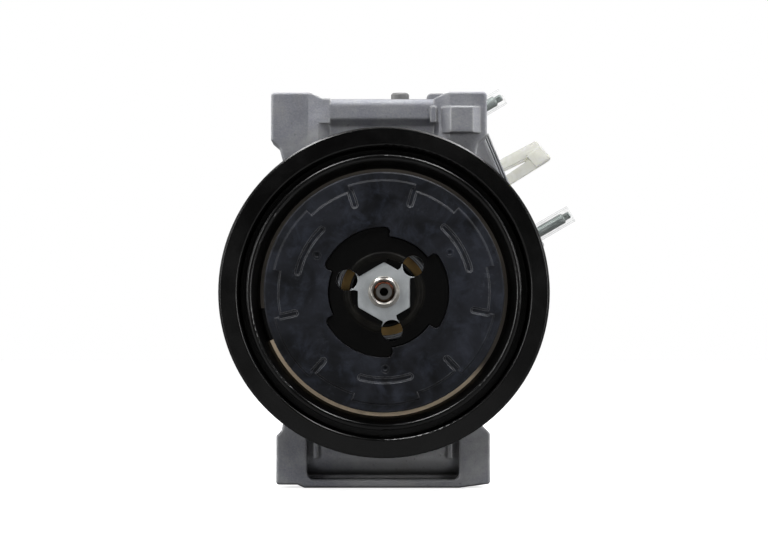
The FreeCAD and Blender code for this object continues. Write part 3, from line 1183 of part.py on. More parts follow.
def port_plug(offset_y, port_r):
    """Moulded transport plug: a stem in the port and a slotted pull loop."""
    x, y = -PORT_MID, PORT_Y + offset_y
    stem = Part.makeCylinder(port_r - SLIDE_GAP, 7.0, V(x, y, PORT_FACE - 8.0), V(0, 0, 1))
    low, high = PORT_FACE - 2.0, PORT_FACE + PLUG_TIP
    wide, deep = 0.68 * port_r, 0.5 * port_r
    skew = 1.0               # the lower corner of the loop stands this much further out than its middle
    outline = [(x - wide, low), (x + wide, low), (x + wide - 0.8, high + skew, 0.9),
               (x - wide + 0.8, high - skew, 0.9)]
    loop = prism_y(outline, y - deep, y + deep)
    head = prism_y([(x - wide * 0.3, high - 7.6), (x + wide - 0.9, high - 6.6), (x + wide - 1.4, high + 0.1),
                    (x - wide * 0.3, high - 1.2)], y - deep - 0.8, y - deep + 1)
    tip = high - 7.6
    slot = prism_y([(x - 1.5, low + 1.6), (x + 1.5, low + 1.6), (x + 0.5, tip), (x - 0.5, tip)],
                   y - deep - 2, y + deep + 1)
    return port_frame(fused(stem, loop, head).cut(slot))


def housing_seal():
    """Square-section ring squeezed flat in the cylinder block's groove."""
    return tube(SEAL_GROOVE_IN, SEAL_GROOVE_OUT, BLOCK_FRONT, BLOCK_FRONT + SEAL_GROOVE_DEEP)


def main():
    os.makedirs("parts", exist_ok=True)
    save("hub_flange", hub_flange())
    save("hub_rubber", hub_rubber())
    save("shaft_nut", shaft_nut())
    save("outer_plate", outer_plate())
    save("armature_disc", armature_disc())
    save("armature_rivets", armature_rivets())
    save("hub_shim", tube(SPLINE_TIP_R + 0.4, HUB_BARREL_R - 0.8, HUB_BARREL_END, HUB_BARREL_END + 1))
    save("rotor", rotor())
    save("rotor_facing", rotor_facing())
    save("pulley_rim", pulley_rim())
    save("bearing_inner_ring", bearing_ring(BEARING_BORE_R, INNER_RING_R))
    save("bearing_outer_ring", bearing_ring(OUTER_RING_IN, BEARING_R))
    save("bearing_balls", group([Part.makeSphere(BALL_R, c) for c in ball_centres()]))
    save("bearing_cage", bearing_cage())
    save("bearing_seals", bearing_seals())
    save("rotor_snap_ring", snap_ring(RING_GROOVE_R, SNAP_RING_R, NOSE_FRONT + 0.5, SNAP_RING_THICK, 100, 6))
    save("coil_snap_ring", snap_ring(22.8, 26.8, COIL_PLATE_Y - 1.3, 1.2, 270, 8))
    save("coil_shell", coil_shell())
    save("coil_potting", coil_potting())
    save("coil_winding", coil_inside(1.2, COIL_FRONT + 2.2, COIL_PLATE_Y - 3.0))
    save("coil_gland", coil_gland())
    save("front_housing", front_housing())
    save("cylinder_block", cylinder_block())
    save("housing_seal", housing_seal())
    save("relief_valve", relief_valve())
    save("drive_shaft", drive_shaft())
    save("shaft_seal", shaft_seal())
    save("front_needle_bearing", needle_bearing(SHAFT_R + 0.02, NEEDLE_R, 40.4, 48.0))
    save("rear_needle_bearing", needle_bearing(REAR_JOURNAL_R + 0.02, REAR_NEEDLE_R, 98.0, 114.0))
    save("lug_plate", lug_plate())
    save("link_pin", link_pin())
    save("swash_plate", swash_plate())
    save("swash_sleeve", swash_sleeve())
    save("stroke_spring", stroke_spring())
    save("spring_clip", spring_clip())
    save("thrust_bearing", thrust_bearing())
    for number, angle in enumerate(piston_angles(), 1):
        save("piston_%d" % number, piston(angle))
    save("piston_rings", piston_rings())
    save("piston_shoes", piston_shoes())
    save("suction_reed", suction_reed())
    save("valve_plate", valve_plate())
    save("discharge_reeds", discharge_reeds())
    save("reed_stopper", reed_stopper())
    save("centre_bolt", centre_bolt())
    save("head_gasket", head_gasket())
    save("rear_housing", rear_housing())
    save("through_bolts", through_bolts())
    save("control_valve", control_valve())
    save("valve_seals", valve_seals())
    save("valve_rod", valve_rod())
    save("valve_clip", valve_clip())
    save("port_studs", port_studs())
    save("stud_sleeves", stud_sleeves())
    plugs = [port_plug(-PORT_SPACING / 2, SUCTION_R), port_plug(PORT_SPACING / 2, DISCHARGE_R)]
    save("port_plugs", group([s for p in plugs for s in p.Solids]))


main()
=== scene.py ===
"""Looks of the air-conditioning compressor with its electromagnetic clutch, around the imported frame.

Metres. The shaft axis is Y, the clutch faces -Y, +X is right as seen from the clutch end, +Z is up.
"""
import json
import math

import bmesh
import bpy
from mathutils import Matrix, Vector

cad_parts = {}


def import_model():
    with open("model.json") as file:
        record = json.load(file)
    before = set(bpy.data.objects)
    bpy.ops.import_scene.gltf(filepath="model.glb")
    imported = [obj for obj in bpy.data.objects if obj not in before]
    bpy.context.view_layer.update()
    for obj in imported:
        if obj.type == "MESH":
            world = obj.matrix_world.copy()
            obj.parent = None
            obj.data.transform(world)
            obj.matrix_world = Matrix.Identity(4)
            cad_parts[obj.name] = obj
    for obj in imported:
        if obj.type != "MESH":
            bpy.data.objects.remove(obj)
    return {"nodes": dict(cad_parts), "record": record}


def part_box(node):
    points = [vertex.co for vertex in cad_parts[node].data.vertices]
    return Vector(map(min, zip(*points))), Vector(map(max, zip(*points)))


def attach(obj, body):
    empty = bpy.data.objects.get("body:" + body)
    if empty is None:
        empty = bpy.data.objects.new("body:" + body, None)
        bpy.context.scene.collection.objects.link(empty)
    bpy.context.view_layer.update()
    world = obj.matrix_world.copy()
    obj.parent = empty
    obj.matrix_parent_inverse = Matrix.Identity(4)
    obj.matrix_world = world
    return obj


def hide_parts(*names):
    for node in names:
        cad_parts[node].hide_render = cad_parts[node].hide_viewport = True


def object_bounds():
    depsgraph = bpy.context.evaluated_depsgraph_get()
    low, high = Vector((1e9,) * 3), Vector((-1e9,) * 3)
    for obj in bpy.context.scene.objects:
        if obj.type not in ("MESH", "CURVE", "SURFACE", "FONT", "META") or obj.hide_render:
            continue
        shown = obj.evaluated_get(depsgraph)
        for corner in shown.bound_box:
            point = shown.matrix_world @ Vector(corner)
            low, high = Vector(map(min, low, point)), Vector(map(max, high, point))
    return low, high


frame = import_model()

cad_low, cad_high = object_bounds()
NODES = frame["nodes"]
scene = bpy.context.scene


# ---- node helpers ----
class Maker:
    """A material under construction: adds nodes and links them by name."""

    def __init__(self, name):
        self.mat = bpy.data.materials.new(name)
        self.mat.use_nodes = True
        self.tree = self.mat.node_tree
        self.tree.nodes.clear()
        self.out = self.tree.nodes.new("ShaderNodeOutputMaterial")
        self.shader = self.tree.nodes.new("ShaderNodeBsdfPrincipled")
        self.tree.links.new(self.shader.outputs[0], self.out.inputs["Surface"])
        self.coords = self.tree.nodes.new("ShaderNodeTexCoord").outputs["Object"]

    def node(self, kind, **inputs):
        n = self.tree.nodes.new(kind)
        for key, value in inputs.items():
            self.feed(n, key.replace("_", " "), value)
        return n

    def feed(self, n, key, value):
        socket = n.inputs[int(key)] if key.isdigit() else n.inputs[key]
        if isinstance(value, bpy.types.NodeSocket):
            self.tree.links.new(value, socket)
        else:
            socket.default_value = value

    def set(self, **inputs):
        for key, value in inputs.items():
            self.feed(self.shader, key.replace("_", " "), value)
        return self

    def noise(self, scale, detail=4.0, rough=0.55, coords=None, distort=0.0):
        n = self.node("ShaderNodeTexNoise", Scale=scale, Detail=detail, Roughness=rough, Distortion=distort)
        self.feed(n, "Vector", coords or self.coords)
        return n.outputs["Fac"]

    def ramp(self, value, low, high, start=0.0, end=1.0):
        """Maps value from low..high to start..end, smoothly and clamped."""
        n = self.tree.nodes.new("ShaderNodeMapRange")
        n.interpolation_type = "SMOOTHSTEP"
        given = (("Value", value), ("From Min", low), ("From Max", high), ("To Min", start), ("To Max", end))
        for key, v in given:
            self.feed(n, key, v)
        return n.outputs[0]

    def mix(self, fac, a, b):
        n = self.tree.nodes.new("ShaderNodeMix")
        n.data_type = "RGBA"
        sockets = {s.identifier: s for s in n.inputs}
        for key, v in (("Factor_Float", fac), ("A_Color", a), ("B_Color", b)):
            if isinstance(v, bpy.types.NodeSocket):
                self.tree.links.new(v, sockets[key])
            else:
                sockets[key].default_value = v
        return next(s for s in n.outputs if s.identifier == "Result_Color")

    def math(self, op, a, b=None, c=None):
        n = self.tree.nodes.new("ShaderNodeMath")
        n.operation = op
        for i, v in enumerate((a, b, c)):
            if v is not None:
                self.feed(n, str(i), v)
        return n.outputs[0]

    def bump(self, height, strength, distance, below=None):
        n = self.node("ShaderNodeBump", Height=height, Strength=strength, Distance=distance)
        if below is not None:
            self.feed(n, "Normal", below)
        return n.outputs[0]

    def soft_edge(self, radius):
        """Normal rounded over sharp edges, and a mask of the edges themselves."""
        n = self.tree.nodes.new("ShaderNodeBevel")
        n.samples = 4
        n.inputs["Radius"].default_value = radius
        true = self.tree.nodes.new("ShaderNodeNewGeometry").outputs["True Normal"]
        dot = self.tree.nodes.new("ShaderNodeVectorMath")
        dot.operation = "DOT_PRODUCT"
        self.tree.links.new(n.outputs[0], dot.inputs[0])
        self.tree.links.new(true, dot.inputs[1])
        return n.outputs[0], self.ramp(dot.outputs["Value"], 0.995, 0.90)

    def radius(self):
        """Distance from the shaft axis."""
        n = self.node("ShaderNodeSeparateXYZ", Vector=self.coords)
        x2 = self.math("MULTIPLY", n.outputs["X"], n.outputs["X"])
        return self.math("SQRT", self.math("MULTIPLY_ADD", n.outputs["Z"], n.outputs["Z"], x2))

    def axis(self, name):
        return self.node("ShaderNodeSeparateXYZ", Vector=self.coords).outputs[name]


def grey(v, tint=(1.0, 1.0, 1.0)):
    return (v * tint[0], v * tint[1], v * tint[2], 1.0)


def turned_rings(m, scale):
    """Fine concentric tool marks: a noise that changes with radius and depth, not round the axis."""
    r = m.node("ShaderNodeCombineXYZ", X=m.radius(), Y=m.axis("Y"), Z=0.0)
    return m.noise(scale, 3.0, 0.6, r.outputs[0])


# ---- materials ----
# Bands in metres, faded from the first value to the second.
GROOVE_IN = (0.0303, 0.0309)      # radius where the outer plate's grooves, and the painted highlight on their rims, begin
GROOVE_OUT = (0.0410, 0.0385)     # and where they end
NOSE_SHADE_R = (0.0172, 0.0164)       # painted shade darkens the housing's nose inside this radius
NOSE_SHADE_Y = (0.036, 0.030)         # and in front of this depth
SHAFT_CONE = (0.0028, 0.0031)     # radius where the shaft's grey tip turns to its stained cone
SHAFT_SOCKET_SHADE = (0.0018, 0.0015)   # radius of the socket in the tip, darkened as painted shade
SHAFT_TIP_Y = (0.001, 0.002)      # depth where the tip's look ends
SHADE_EDGE = (-0.0245, -0.0150)     # height where the friction ring turns dark with painted shade
BEAD_FADE = 0.0006


def coated(name, base, rough, mottle, peel, scuff):
    """Electrocoat or paint on steel: cloudy tone, orange peel, scuffs and edges worn thin."""
    m = Maker(name)
    cloud = m.noise(48, 6, 0.62, distort=0.4)
    spots = m.noise(260, 5, 0.7)
    soft, worn = m.soft_edge(0.00025)
    colour = m.mix(m.ramp(cloud, 0.33, 0.68), grey(base * (1 - mottle)), grey(base * (1 + mottle)))
    colour = m.mix(m.ramp(spots, 0.56, 0.78, 0.0, scuff), colour, grey(base * 2.0))
    wear = m.math("MULTIPLY", worn, m.ramp(spots, 0.42, 0.62, 0.15, 0.75))
    colour = m.mix(wear, colour, grey(base * 4.0 + 0.012))
    m.set(Base_Color=colour, Roughness=m.ramp(cloud, 0.3, 0.7, rough - 0.03, rough + 0.06))
    m.set(Normal=m.bump(m.noise(700, 2, 0.5), peel, 0.0001, soft))
    return m.mat


def plate_coat(name):
    """Blue-black coat of the pressed plate: haze, water stains, speckled wear, and groove rims lightened
    partly as wear and partly as painted highlight.
    """
    m = Maker(name)
    cloud = m.noise(42, 7, 0.66, distort=0.9)
    stain = m.noise(120, 6, 0.7, distort=0.5)
    speck = m.noise(900, 4, 0.7)
    patch = m.noise(85, 6, 0.72, distort=0.6)
    soft, worn = m.soft_edge(0.0005)
    colour = m.mix(m.ramp(cloud, 0.34, 0.66), (0.0012, 0.0016, 0.0027, 1), (0.0080, 0.0098, 0.0160, 1))
    colour = m.mix(m.ramp(stain, 0.44, 0.70, 0.0, 0.8), colour, (0.021, 0.025, 0.037, 1))
    chipped = m.math("MULTIPLY", m.ramp(patch, 0.54, 0.70), m.ramp(speck, 0.50, 0.62))
    colour = m.mix(m.math("MULTIPLY", chipped, 0.5), colour, (0.045, 0.049, 0.062, 1))
    inner = m.ramp(m.radius(), *GROOVE_IN)
    outer = m.ramp(m.radius(), *GROOVE_OUT, 0.22, 1.0)
    pressed = m.math("MULTIPLY", inner, outer)
    # Groove rims lightened partly as wear and partly as painted highlight.
    rim_wear_and_highlight = m.math("MULTIPLY", m.math("MULTIPLY", worn, pressed), m.ramp(stain, 0.36, 0.56, 0.35, 1.0))
    colour = m.mix(rim_wear_and_highlight, colour, (0.24, 0.245, 0.26, 1))
    m.set(Base_Color=colour, Roughness=m.ramp(cloud, 0.3, 0.7, 0.34, 0.56))
    m.set(Normal=m.bump(m.noise(420, 4, 0.6), 0.20, 0.00025, soft), Specular_IOR_Level=0.30)
    return m.mat


def cast(name, tone=0.34):
    """Die-cast aluminium: blasted grain, blue and brown blotches, flow marks, pits, worn edges, painted
    shade in corners and painted shade deep in the nose.
    """
    m = Maker(name)
    patch = m.noise(34, 7, 0.62, distort=0.5)
    brown = m.noise(58, 6, 0.6, distort=0.3)
    stretched = m.node("ShaderNodeMapping", Vector=m.coords, Scale=(1.0, 0.6, 2.0)).outputs[0]
    flow = m.noise(70, 5, 0.6, stretched, 0.4)
    grain = m.noise(1500, 4, 0.65)
    pits = m.ramp(m.noise(620, 3, 0.6), 0.64, 0.74)
    soft, worn = m.soft_edge(0.0011)
    blue, pale = grey(tone * 0.74, (0.94, 0.97, 1.12)), grey(tone * 1.14, (0.99, 1.0, 1.03))
    colour = m.mix(m.ramp(patch, 0.36, 0.66), blue, pale)
    colour = m.mix(m.ramp(brown, 0.54, 0.74, 0.0, 0.35), colour, grey(tone * 0.86, (1.10, 1.0, 0.88)))
    colour = m.mix(m.ramp(flow, 0.46, 0.76, 0.0, 0.32), colour, grey(tone * 0.58, (0.96, 0.98, 1.06)))
    colour = m.mix(m.ramp(grain, 0.3, 0.75, 0.0, 0.3), colour, grey(tone * 1.4))
    colour = m.mix(m.math("MULTIPLY", pits, 0.5), colour, grey(tone * 0.4))
    colour = m.mix(m.math("MULTIPLY", worn, m.ramp(patch, 0.3, 0.7, 0.45, 0.95)), colour, grey(tone * 2.1))
    # Painted shade: the colour darkens where ambient occlusion finds corners and recesses.
    corner = m.node("ShaderNodeAmbientOcclusion", Distance=0.007)
    painted_corner_shade = m.ramp(corner.outputs["AO"], 0.62, 0.22, 0.0, 0.70)
    colour = m.mix(painted_corner_shade, colour, grey(0.055, (1.0, 0.97, 0.93)))
    # Painted shade deep in the housing's nose, darkened by radius and depth.
    nose_shade = m.math("MULTIPLY", m.ramp(m.radius(), *NOSE_SHADE_R), m.ramp(m.axis("Y"), *NOSE_SHADE_Y))
    colour = m.mix(nose_shade, colour, (0.006, 0.0058, 0.0055, 1))
    m.set(Base_Color=colour, Metallic=0.55, Roughness=m.ramp(flow, 0.25, 0.75, 0.40, 0.58))
    low = m.bump(grain, 0.4, 0.00022, soft)
    m.set(Normal=m.bump(m.noise(230, 4, 0.55), 0.25, 0.0007, low))
    return m.mat


def steel(name, tone, rough, tint=(1, 1, 1), turned=True, metallic=1.0):
    """Machined steel: tool marks round the shaft axis and a faint stain."""
    m = Maker(name)
    marks = turned_rings(m, 5200) if turned else m.noise(2400, 4, 0.6)
    stain = m.noise(90, 5, 0.6)
    colour = m.mix(m.ramp(stain, 0.35, 0.7), grey(tone * 0.86, tint), grey(tone * 1.08, tint))
    colour = m.mix(m.ramp(marks, 0.35, 0.65, 0.0, 0.25), colour, grey(tone * 1.25, tint))
    soft, worn = m.soft_edge(0.00018)
    colour = m.mix(m.math("MULTIPLY", worn, 0.5), colour, grey(min(0.9, tone * 1.7), tint))
    m.set(Base_Color=colour, Metallic=metallic, Normal=m.bump(marks, 0.18, 0.00008, soft))
    m.set(Roughness=m.ramp(marks, 0.3, 0.7, rough - 0.06, rough + 0.08))
    return m.mat


def shaft_end(name):
    """Turned shaft: grey tip, brown stained cone, socket darkened as painted shade; the rest is plain ground
    steel.
    """
    m = Maker(name)
    marks = turned_rings(m, 5200)
    stain = m.noise(700, 5, 0.65)
    rust = m.mix(m.ramp(stain, 0.35, 0.65), (0.045, 0.030, 0.020, 1), (0.13, 0.085, 0.055, 1))
    warm = (1.0, 0.97, 0.93)
    colour = m.mix(m.ramp(marks, 0.35, 0.65), grey(0.17, warm), grey(0.24, warm))
    colour = m.mix(m.ramp(m.radius(), *SHAFT_CONE), colour, rust)
    # Painted shade in the socket.
    colour = m.mix(m.ramp(m.radius(), *SHAFT_SOCKET_SHADE), colour, (0.014, 0.012, 0.008, 1))
    colour = m.mix(m.ramp(m.axis("Y"), *SHAFT_TIP_Y), colour, grey(0.42))
    soft, worn = m.soft_edge(0.00018)
    colour = m.mix(m.math("MULTIPLY", worn, 0.5), colour, grey(0.40, (1.0, 0.98, 0.95)))
    m.set(Base_Color=colour, Metallic=0.85, Normal=m.bump(marks, 0.18, 0.00008, soft))
    m.set(Roughness=m.ramp(marks, 0.3, 0.7, 0.32, 0.46))
    return m.mat


def thread_lock(name):
    """Cured red-brown locking compound."""
    m = Maker(name)
    blot = m.noise(1100, 4, 0.6)
    colour = m.mix(m.ramp(blot, 0.40, 0.60), (0.085, 0.042, 0.026, 1), (0.40, 0.085, 0.030, 1))
    m.set(Base_Color=colour, Roughness=m.ramp(blot, 0.3, 0.7, 0.25, 0.5), Normal=m.bump(blot, 0.3, 0.0002))
    return m.mat


def rubber(name, tone=0.012, bead=None):
    """Moulded rubber with a fine matt skin, traces of talc and a painted sheen on the bead between two
    radii.
    """
    m = Maker(name)
    skin = m.noise(1800, 3, 0.6)
    talc = m.ramp(m.noise(140, 6, 0.7), 0.55, 0.8, 0.0, 0.3)
    colour = m.mix(talc, grey(tone), grey(tone * 3.2 + 0.002, (1.0, 0.98, 0.95)))
    if bead:
        # Painted sheen: the bead is lightened in blotches between two radii.
        inner = m.ramp(m.radius(), bead[0] - BEAD_FADE, bead[0])
        outer = m.ramp(m.radius(), bead[1] + BEAD_FADE, bead[1])
        sheen_blotch = m.ramp(m.noise(90, 4, 0.6), 0.35, 0.65, 0.1, 0.9)
        painted_sheen = m.math("MULTIPLY", m.math("MULTIPLY", inner, outer), sheen_blotch)
        colour = m.mix(painted_sheen, colour, (0.0095, 0.0088, 0.0072, 1))
    soft = m.soft_edge(0.0003)[0]
    m.set(Base_Color=colour, Specular_IOR_Level=0.1)
    m.set(Roughness=m.ramp(skin, 0.3, 0.7, 0.36, 0.50), Normal=m.bump(skin, 0.12, 0.0001, soft))
    return m.mat


def plastic(name, colour, rough):
    """Moulded plastic with a slight cloud in its colour and a fine spark-eroded skin."""
    m = Maker(name)
    cloud = m.noise(120, 4, 0.6)
    skin = m.noise(900, 3, 0.6)
    m.set(Base_Color=m.mix(m.ramp(cloud, 0.3, 0.7), grey(1 - 0.1, colour), grey(1 + 0.1, colour)))
    m.set(Roughness=m.ramp(skin, 0.3, 0.7, rough - 0.05, rough + 0.08), Normal=m.bump(skin, 0.12, 0.0001))
    return m.mat


def milky(name):
    """Natural polyethylene: nearly white, soft, and see-through where it is thin."""
    m = Maker(name)
    flow = m.noise(150, 4, 0.6, distort=1.2)
    soft, worn = m.soft_edge(0.0005)
    facing_away = m.node("ShaderNodeLayerWeight", Blend=0.45).outputs["Facing"]
    colour = m.mix(m.ramp(flow, 0.3, 0.7), (0.80, 0.80, 0.72, 1), (0.93, 0.93, 0.87, 1))
    colour = m.mix(m.math("MULTIPLY", worn, 0.6), colour, (0.62, 0.60, 0.50, 1))
    m.set(Base_Color=colour, Alpha=m.ramp(facing_away, 0.2, 0.9, 0.62, 0.95))
    m.set(Roughness=m.ramp(flow, 0.3, 0.7, 0.28, 0.40), Normal=m.bump(flow, 0.12, 0.0006, soft))
    m.set(Subsurface_Weight=0.6, Subsurface_Radius=(0.006, 0.006, 0.005), Subsurface_Scale=1.0)
    return m.mat


def clear(name):
    """Clear vinyl tube: a thin film that shows at its edges, with faint haze and scuffs."""
    m = Maker(name)
    haze = m.noise(300, 4, 0.6)
    facing_away = m.node("ShaderNodeLayerWeight", Blend=0.5).outputs["Facing"]
    m.set(Base_Color=m.mix(m.ramp(haze, 0.4, 0.7), (0.70, 0.73, 0.72, 1), (0.86, 0.88, 0.87, 1)))
    m.set(Roughness=m.ramp(haze, 0.3, 0.7, 0.05, 0.2), Normal=m.bump(haze, 0.1, 0.0004))
    film = m.ramp(facing_away, 0.45, 1.0, 0.05, 0.42)
    m.set(Alpha=m.math("ADD", film, m.ramp(haze, 0.5, 0.75, 0.0, 0.10)))
    return m.mat


def facing(name):
    """Sintered friction ring: beige low down and darkened above as painted shade, with polished rings and
    streaks.
    """
    m = Maker(name)
    rings = turned_rings(m, 3400)
    streak = m.noise(210, 5, 0.7)
    colour = m.mix(m.ramp(rings, 0.3, 0.7), (0.54, 0.43, 0.30, 1), (0.78, 0.64, 0.47, 1))
    colour = m.mix(m.ramp(streak, 0.5, 0.8, 0.0, 0.5), colour, (0.10, 0.085, 0.07, 1))
    # Painted shade: the ring is darkened above a slightly tilted height.
    lean = m.math("MULTIPLY_ADD", m.axis("X"), 0.2, m.axis("Z"))
    shade_above = m.ramp(m.math("MULTIPLY_ADD", m.noise(60, 3, 0.5), 0.006, lean), *SHADE_EDGE, 0.0, 0.93)
    colour = m.mix(shade_above, colour, (0.016, 0.0155, 0.0155, 1))
    m.set(Base_Color=colour, Metallic=0.25, Roughness=m.ramp(rings, 0.3, 0.7, 0.38, 0.6))
    m.set(Normal=m.bump(rings, 0.3, 0.0001))
    return m.mat


def winding(name):
    """Enamelled copper wire in level turns."""
    m = Maker(name)
    wave = m.node("ShaderNodeTexWave", Scale=900.0, Distortion=0.0)
    wave.bands_direction = "Y"
    m.feed(wave, "Vector", m.coords)
    colour = m.mix(wave.outputs["Fac"], (0.22, 0.07, 0.025, 1), (0.62, 0.26, 0.10, 1))
    m.set(Base_Color=colour, Metallic=0.8, Roughness=m.ramp(m.noise(500), 0.3, 0.7, 0.25, 0.4))
    m.set(Normal=m.bump(wave.outputs["Fac"], 0.6, 0.0003))
    return m.mat


MATERIALS = {
    "black_coat": coated("black_coat", 0.0034, 0.20, mottle=0.3, peel=0.05, scuff=0.15),
    "plate_coat": plate_coat("plate_coat"),
    "cast_aluminium": cast("cast_aluminium"),
    "piston_aluminium": steel("piston_aluminium", 0.55, 0.34, (1.0, 0.99, 0.97)),
    "ground_steel": steel("ground_steel", 0.50, 0.26, (0.97, 0.99, 1.03)),
    "star_steel": steel("star_steel", 0.62, 0.42, (0.95, 1.0, 1.03), turned=False, metallic=0.7),
    "nut_steel": steel("nut_steel", 0.44, 0.36, (1.04, 1.0, 0.93)),
    "shaft_steel": shaft_end("shaft_steel"),
    "zinc_steel": steel("zinc_steel", 0.40, 0.36, (0.97, 1.0, 0.97), turned=False),
    "dull_zinc": steel("dull_zinc", 0.20, 0.55, turned=False, metallic=0.6),
    "stud_zinc": steel("stud_zinc", 0.27, 0.42, (0.88, 1.0, 0.96), turned=False),
    "yellow_steel": steel("yellow_steel", 0.19, 0.42, (1.28, 0.84, 0.34)),
    "grey_iron": steel("grey_iron", 0.24, 0.44),
    "spring_steel": steel("spring_steel", 0.16, 0.34, turned=False),
    "valve_brass": steel("valve_brass", 0.50, 0.30, (1.1, 0.92, 0.55)),
    "armature_steel": steel("armature_steel", 0.30, 0.40, (1.0, 0.97, 0.93)),
    "friction_facing": facing("friction_facing"),
    "hub_rubber": rubber("hub_rubber", 0.0016, bead=(0.0124, 0.0152)),
    "seal_rubber": rubber("seal_rubber", 0.02),
    "copper": winding("copper"),
    "resin": plastic("resin", (0.02, 0.02, 0.021), 0.45),
    "gasket": plastic("gasket", (0.07, 0.08, 0.085), 0.55),
    "milky_plastic": milky("milky_plastic"),
    "clear_plastic": clear("clear_plastic"),
    "thread_lock": thread_lock("thread_lock"),
}

FINISH = {
    "black_coat": ["rotor", "pulley_rim", "coil_shell"],
    "plate_coat": ["outer_plate", "armature_rivets"],
    "cast_aluminium": ["front_housing", "cylinder_block", "rear_housing"],
    "piston_aluminium": ["piston_%d" % i for i in range(1, 8)],
    "ground_steel": ["bearing_inner_ring", "bearing_outer_ring", "bearing_balls", "front_needle_bearing",
                     "rear_needle_bearing", "thrust_bearing", "link_pin", "swash_sleeve", "piston_shoes",
                     "valve_rod", "hub_shim"],
    "star_steel": ["hub_flange"],
    "nut_steel": ["shaft_nut"],
    "shaft_steel": ["drive_shaft"],
    "dull_zinc": ["relief_valve"],
    "zinc_steel": ["through_bolts", "centre_bolt", "coil_snap_ring", "spring_clip", "valve_clip"],
    "yellow_steel": ["rotor_snap_ring"],
    "grey_iron": ["swash_plate", "lug_plate", "valve_plate", "suction_reed", "reed_stopper"],
    "spring_steel": ["discharge_reeds", "stroke_spring"],
    "valve_brass": ["control_valve"],
    "armature_steel": ["armature_disc"],
    "friction_facing": ["rotor_facing"],
    "hub_rubber": ["hub_rubber"],
    "seal_rubber": ["bearing_seals", "valve_seals", "shaft_seal"],
    "copper": ["coil_winding"],
    "resin": ["coil_potting", "coil_gland", "bearing_cage"],
    "gasket": ["head_gasket", "housing_seal", "piston_rings"],
    "milky_plastic": ["port_plugs"],
    "clear_plastic": ["stud_sleeves"],
}
for finish, names in FINISH.items():
    for node in names:
        slots = NODES[node].data.materials
        slots.clear()
        slots.append(MATERIALS[finish])


# ---- pieces made here ----
SHARP_ANGLE = math.radians(35)
AROUND = 36                  # points round the stud
THREAD_PITCH = 0.0008
THREAD_DEEP = 0.00022
RINGS_PER_PITCH = 6
LEAD_IN = 0.0005             # chamfer at each end of the thread
DRIVE_LONG = 0.003
DRIVE_R = 0.0015
DRIVE_CHAMFER = 0.0004
LOCK_R = 0.00352
LOCK_HALF = 74               # degrees each side of the top
LOCK_END = 14                # degrees over which the bead thins at each end
LOCK_THICK = 0.00042
LOCK_BACK = 0.0011           # its middle, behind the nut's front face
LOCK_AROUND = 10             # points round the bead


def skin(rings):
    """Closed mesh over a list of rings of points, all with the same count."""
    b = bmesh.new()
    rows = [[b.verts.new(point) for point in ring] for ring in rings]
    for row, following in zip(rows, rows[1:]):
        for k in range(len(row)):
            b.faces.new((row[k], row[k - 1], following[k - 1], following[k]))
    b.faces.new(rows[0])
    b.faces.new(reversed(rows[-1]))
    bmesh.ops.recalc_face_normals(b, faces=b.faces)
    return b


def piece_of(name, meshes, finish, body):
    """One object from several closed meshes, riding on a body."""
    whole = bmesh.new()
    for part in meshes:
        passed = bpy.data.meshes.new("passed")
        part.to_mesh(passed)
        part.free()
        whole.from_mesh(passed)
        bpy.data.meshes.remove(passed)
    mesh = bpy.data.meshes.new(name)
    whole.to_mesh(mesh)
    whole.free()
    mesh.materials.append(MATERIALS[finish])
    mesh.polygons.foreach_set("use_smooth", [True] * len(mesh.polygons))
    mesh.set_sharp_from_angle(angle=SHARP_ANGLE)
    obj = bpy.data.objects.new(name, mesh)
    scene.collection.objects.link(obj)
    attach(obj, body)
    return obj


def threaded_stud(foot, axis, across, long, radius):
    """Stud with a helical thread, then a six-lobed drive end, from foot along axis."""
    side = axis.cross(across)
    shoulder = long - DRIVE_LONG

    def ring(along, reach):
        turns = [2 * math.pi * k / AROUND for k in range(AROUND)]
        return [foot + along * axis + reach(a) * (math.cos(a) * across + math.sin(a) * side) for a in turns]

    def thread(along):
        taper = max(0.0, LEAD_IN - along, along - (shoulder - LEAD_IN))

        def reach(angle):
            phase = (along / THREAD_PITCH - angle / (2 * math.pi)) % 1.0
            return min(radius - THREAD_DEEP * abs(2 * phase - 1), radius - taper)
        return reach

    count = int(shoulder / (THREAD_PITCH / RINGS_PER_PITCH))
    rings = [ring(shoulder * k / count, thread(shoulder * k / count)) for k in range(count + 1)]
    lobed = [(shoulder, 1.0), (long - DRIVE_CHAMFER, 1.0), (long, 0.72)]
    rings += [ring(along, lambda a, share=share: share * DRIVE_R * (0.92 + 0.08 * math.cos(6 * a)))
              for along, share in lobed]
    return skin(rings)


def port_studs():
    """The two studs of the port face, placed by the extent of their CAD node along the studs and across."""
    mount = next(m for m in frame["record"]["mounts"] if m["name"] == "port_stud_pair")
    axis, middle = Vector(mount["axis"]).normalized(), Vector(mount["pos_m"])
    across = Vector((0, 1, 0)).cross(axis)
    offsets = [Vector(v.co) - middle for v in NODES["port_studs"].data.vertices]
    reach, spread = [o.dot(axis) for o in offsets], [o.dot(across) for o in offsets]
    radius = (max(o.y for o in offsets) - min(o.y for o in offsets)) / 2
    long = max(reach) - min(reach)
    meshes = [threaded_stud(middle + min(reach) * axis + at * across, axis, across, long, radius)
              for at in (min(spread) + radius, max(spread) - radius)]
    studs = piece_of("threaded_studs", meshes, "stud_zinc", "housing")
    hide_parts("port_studs")


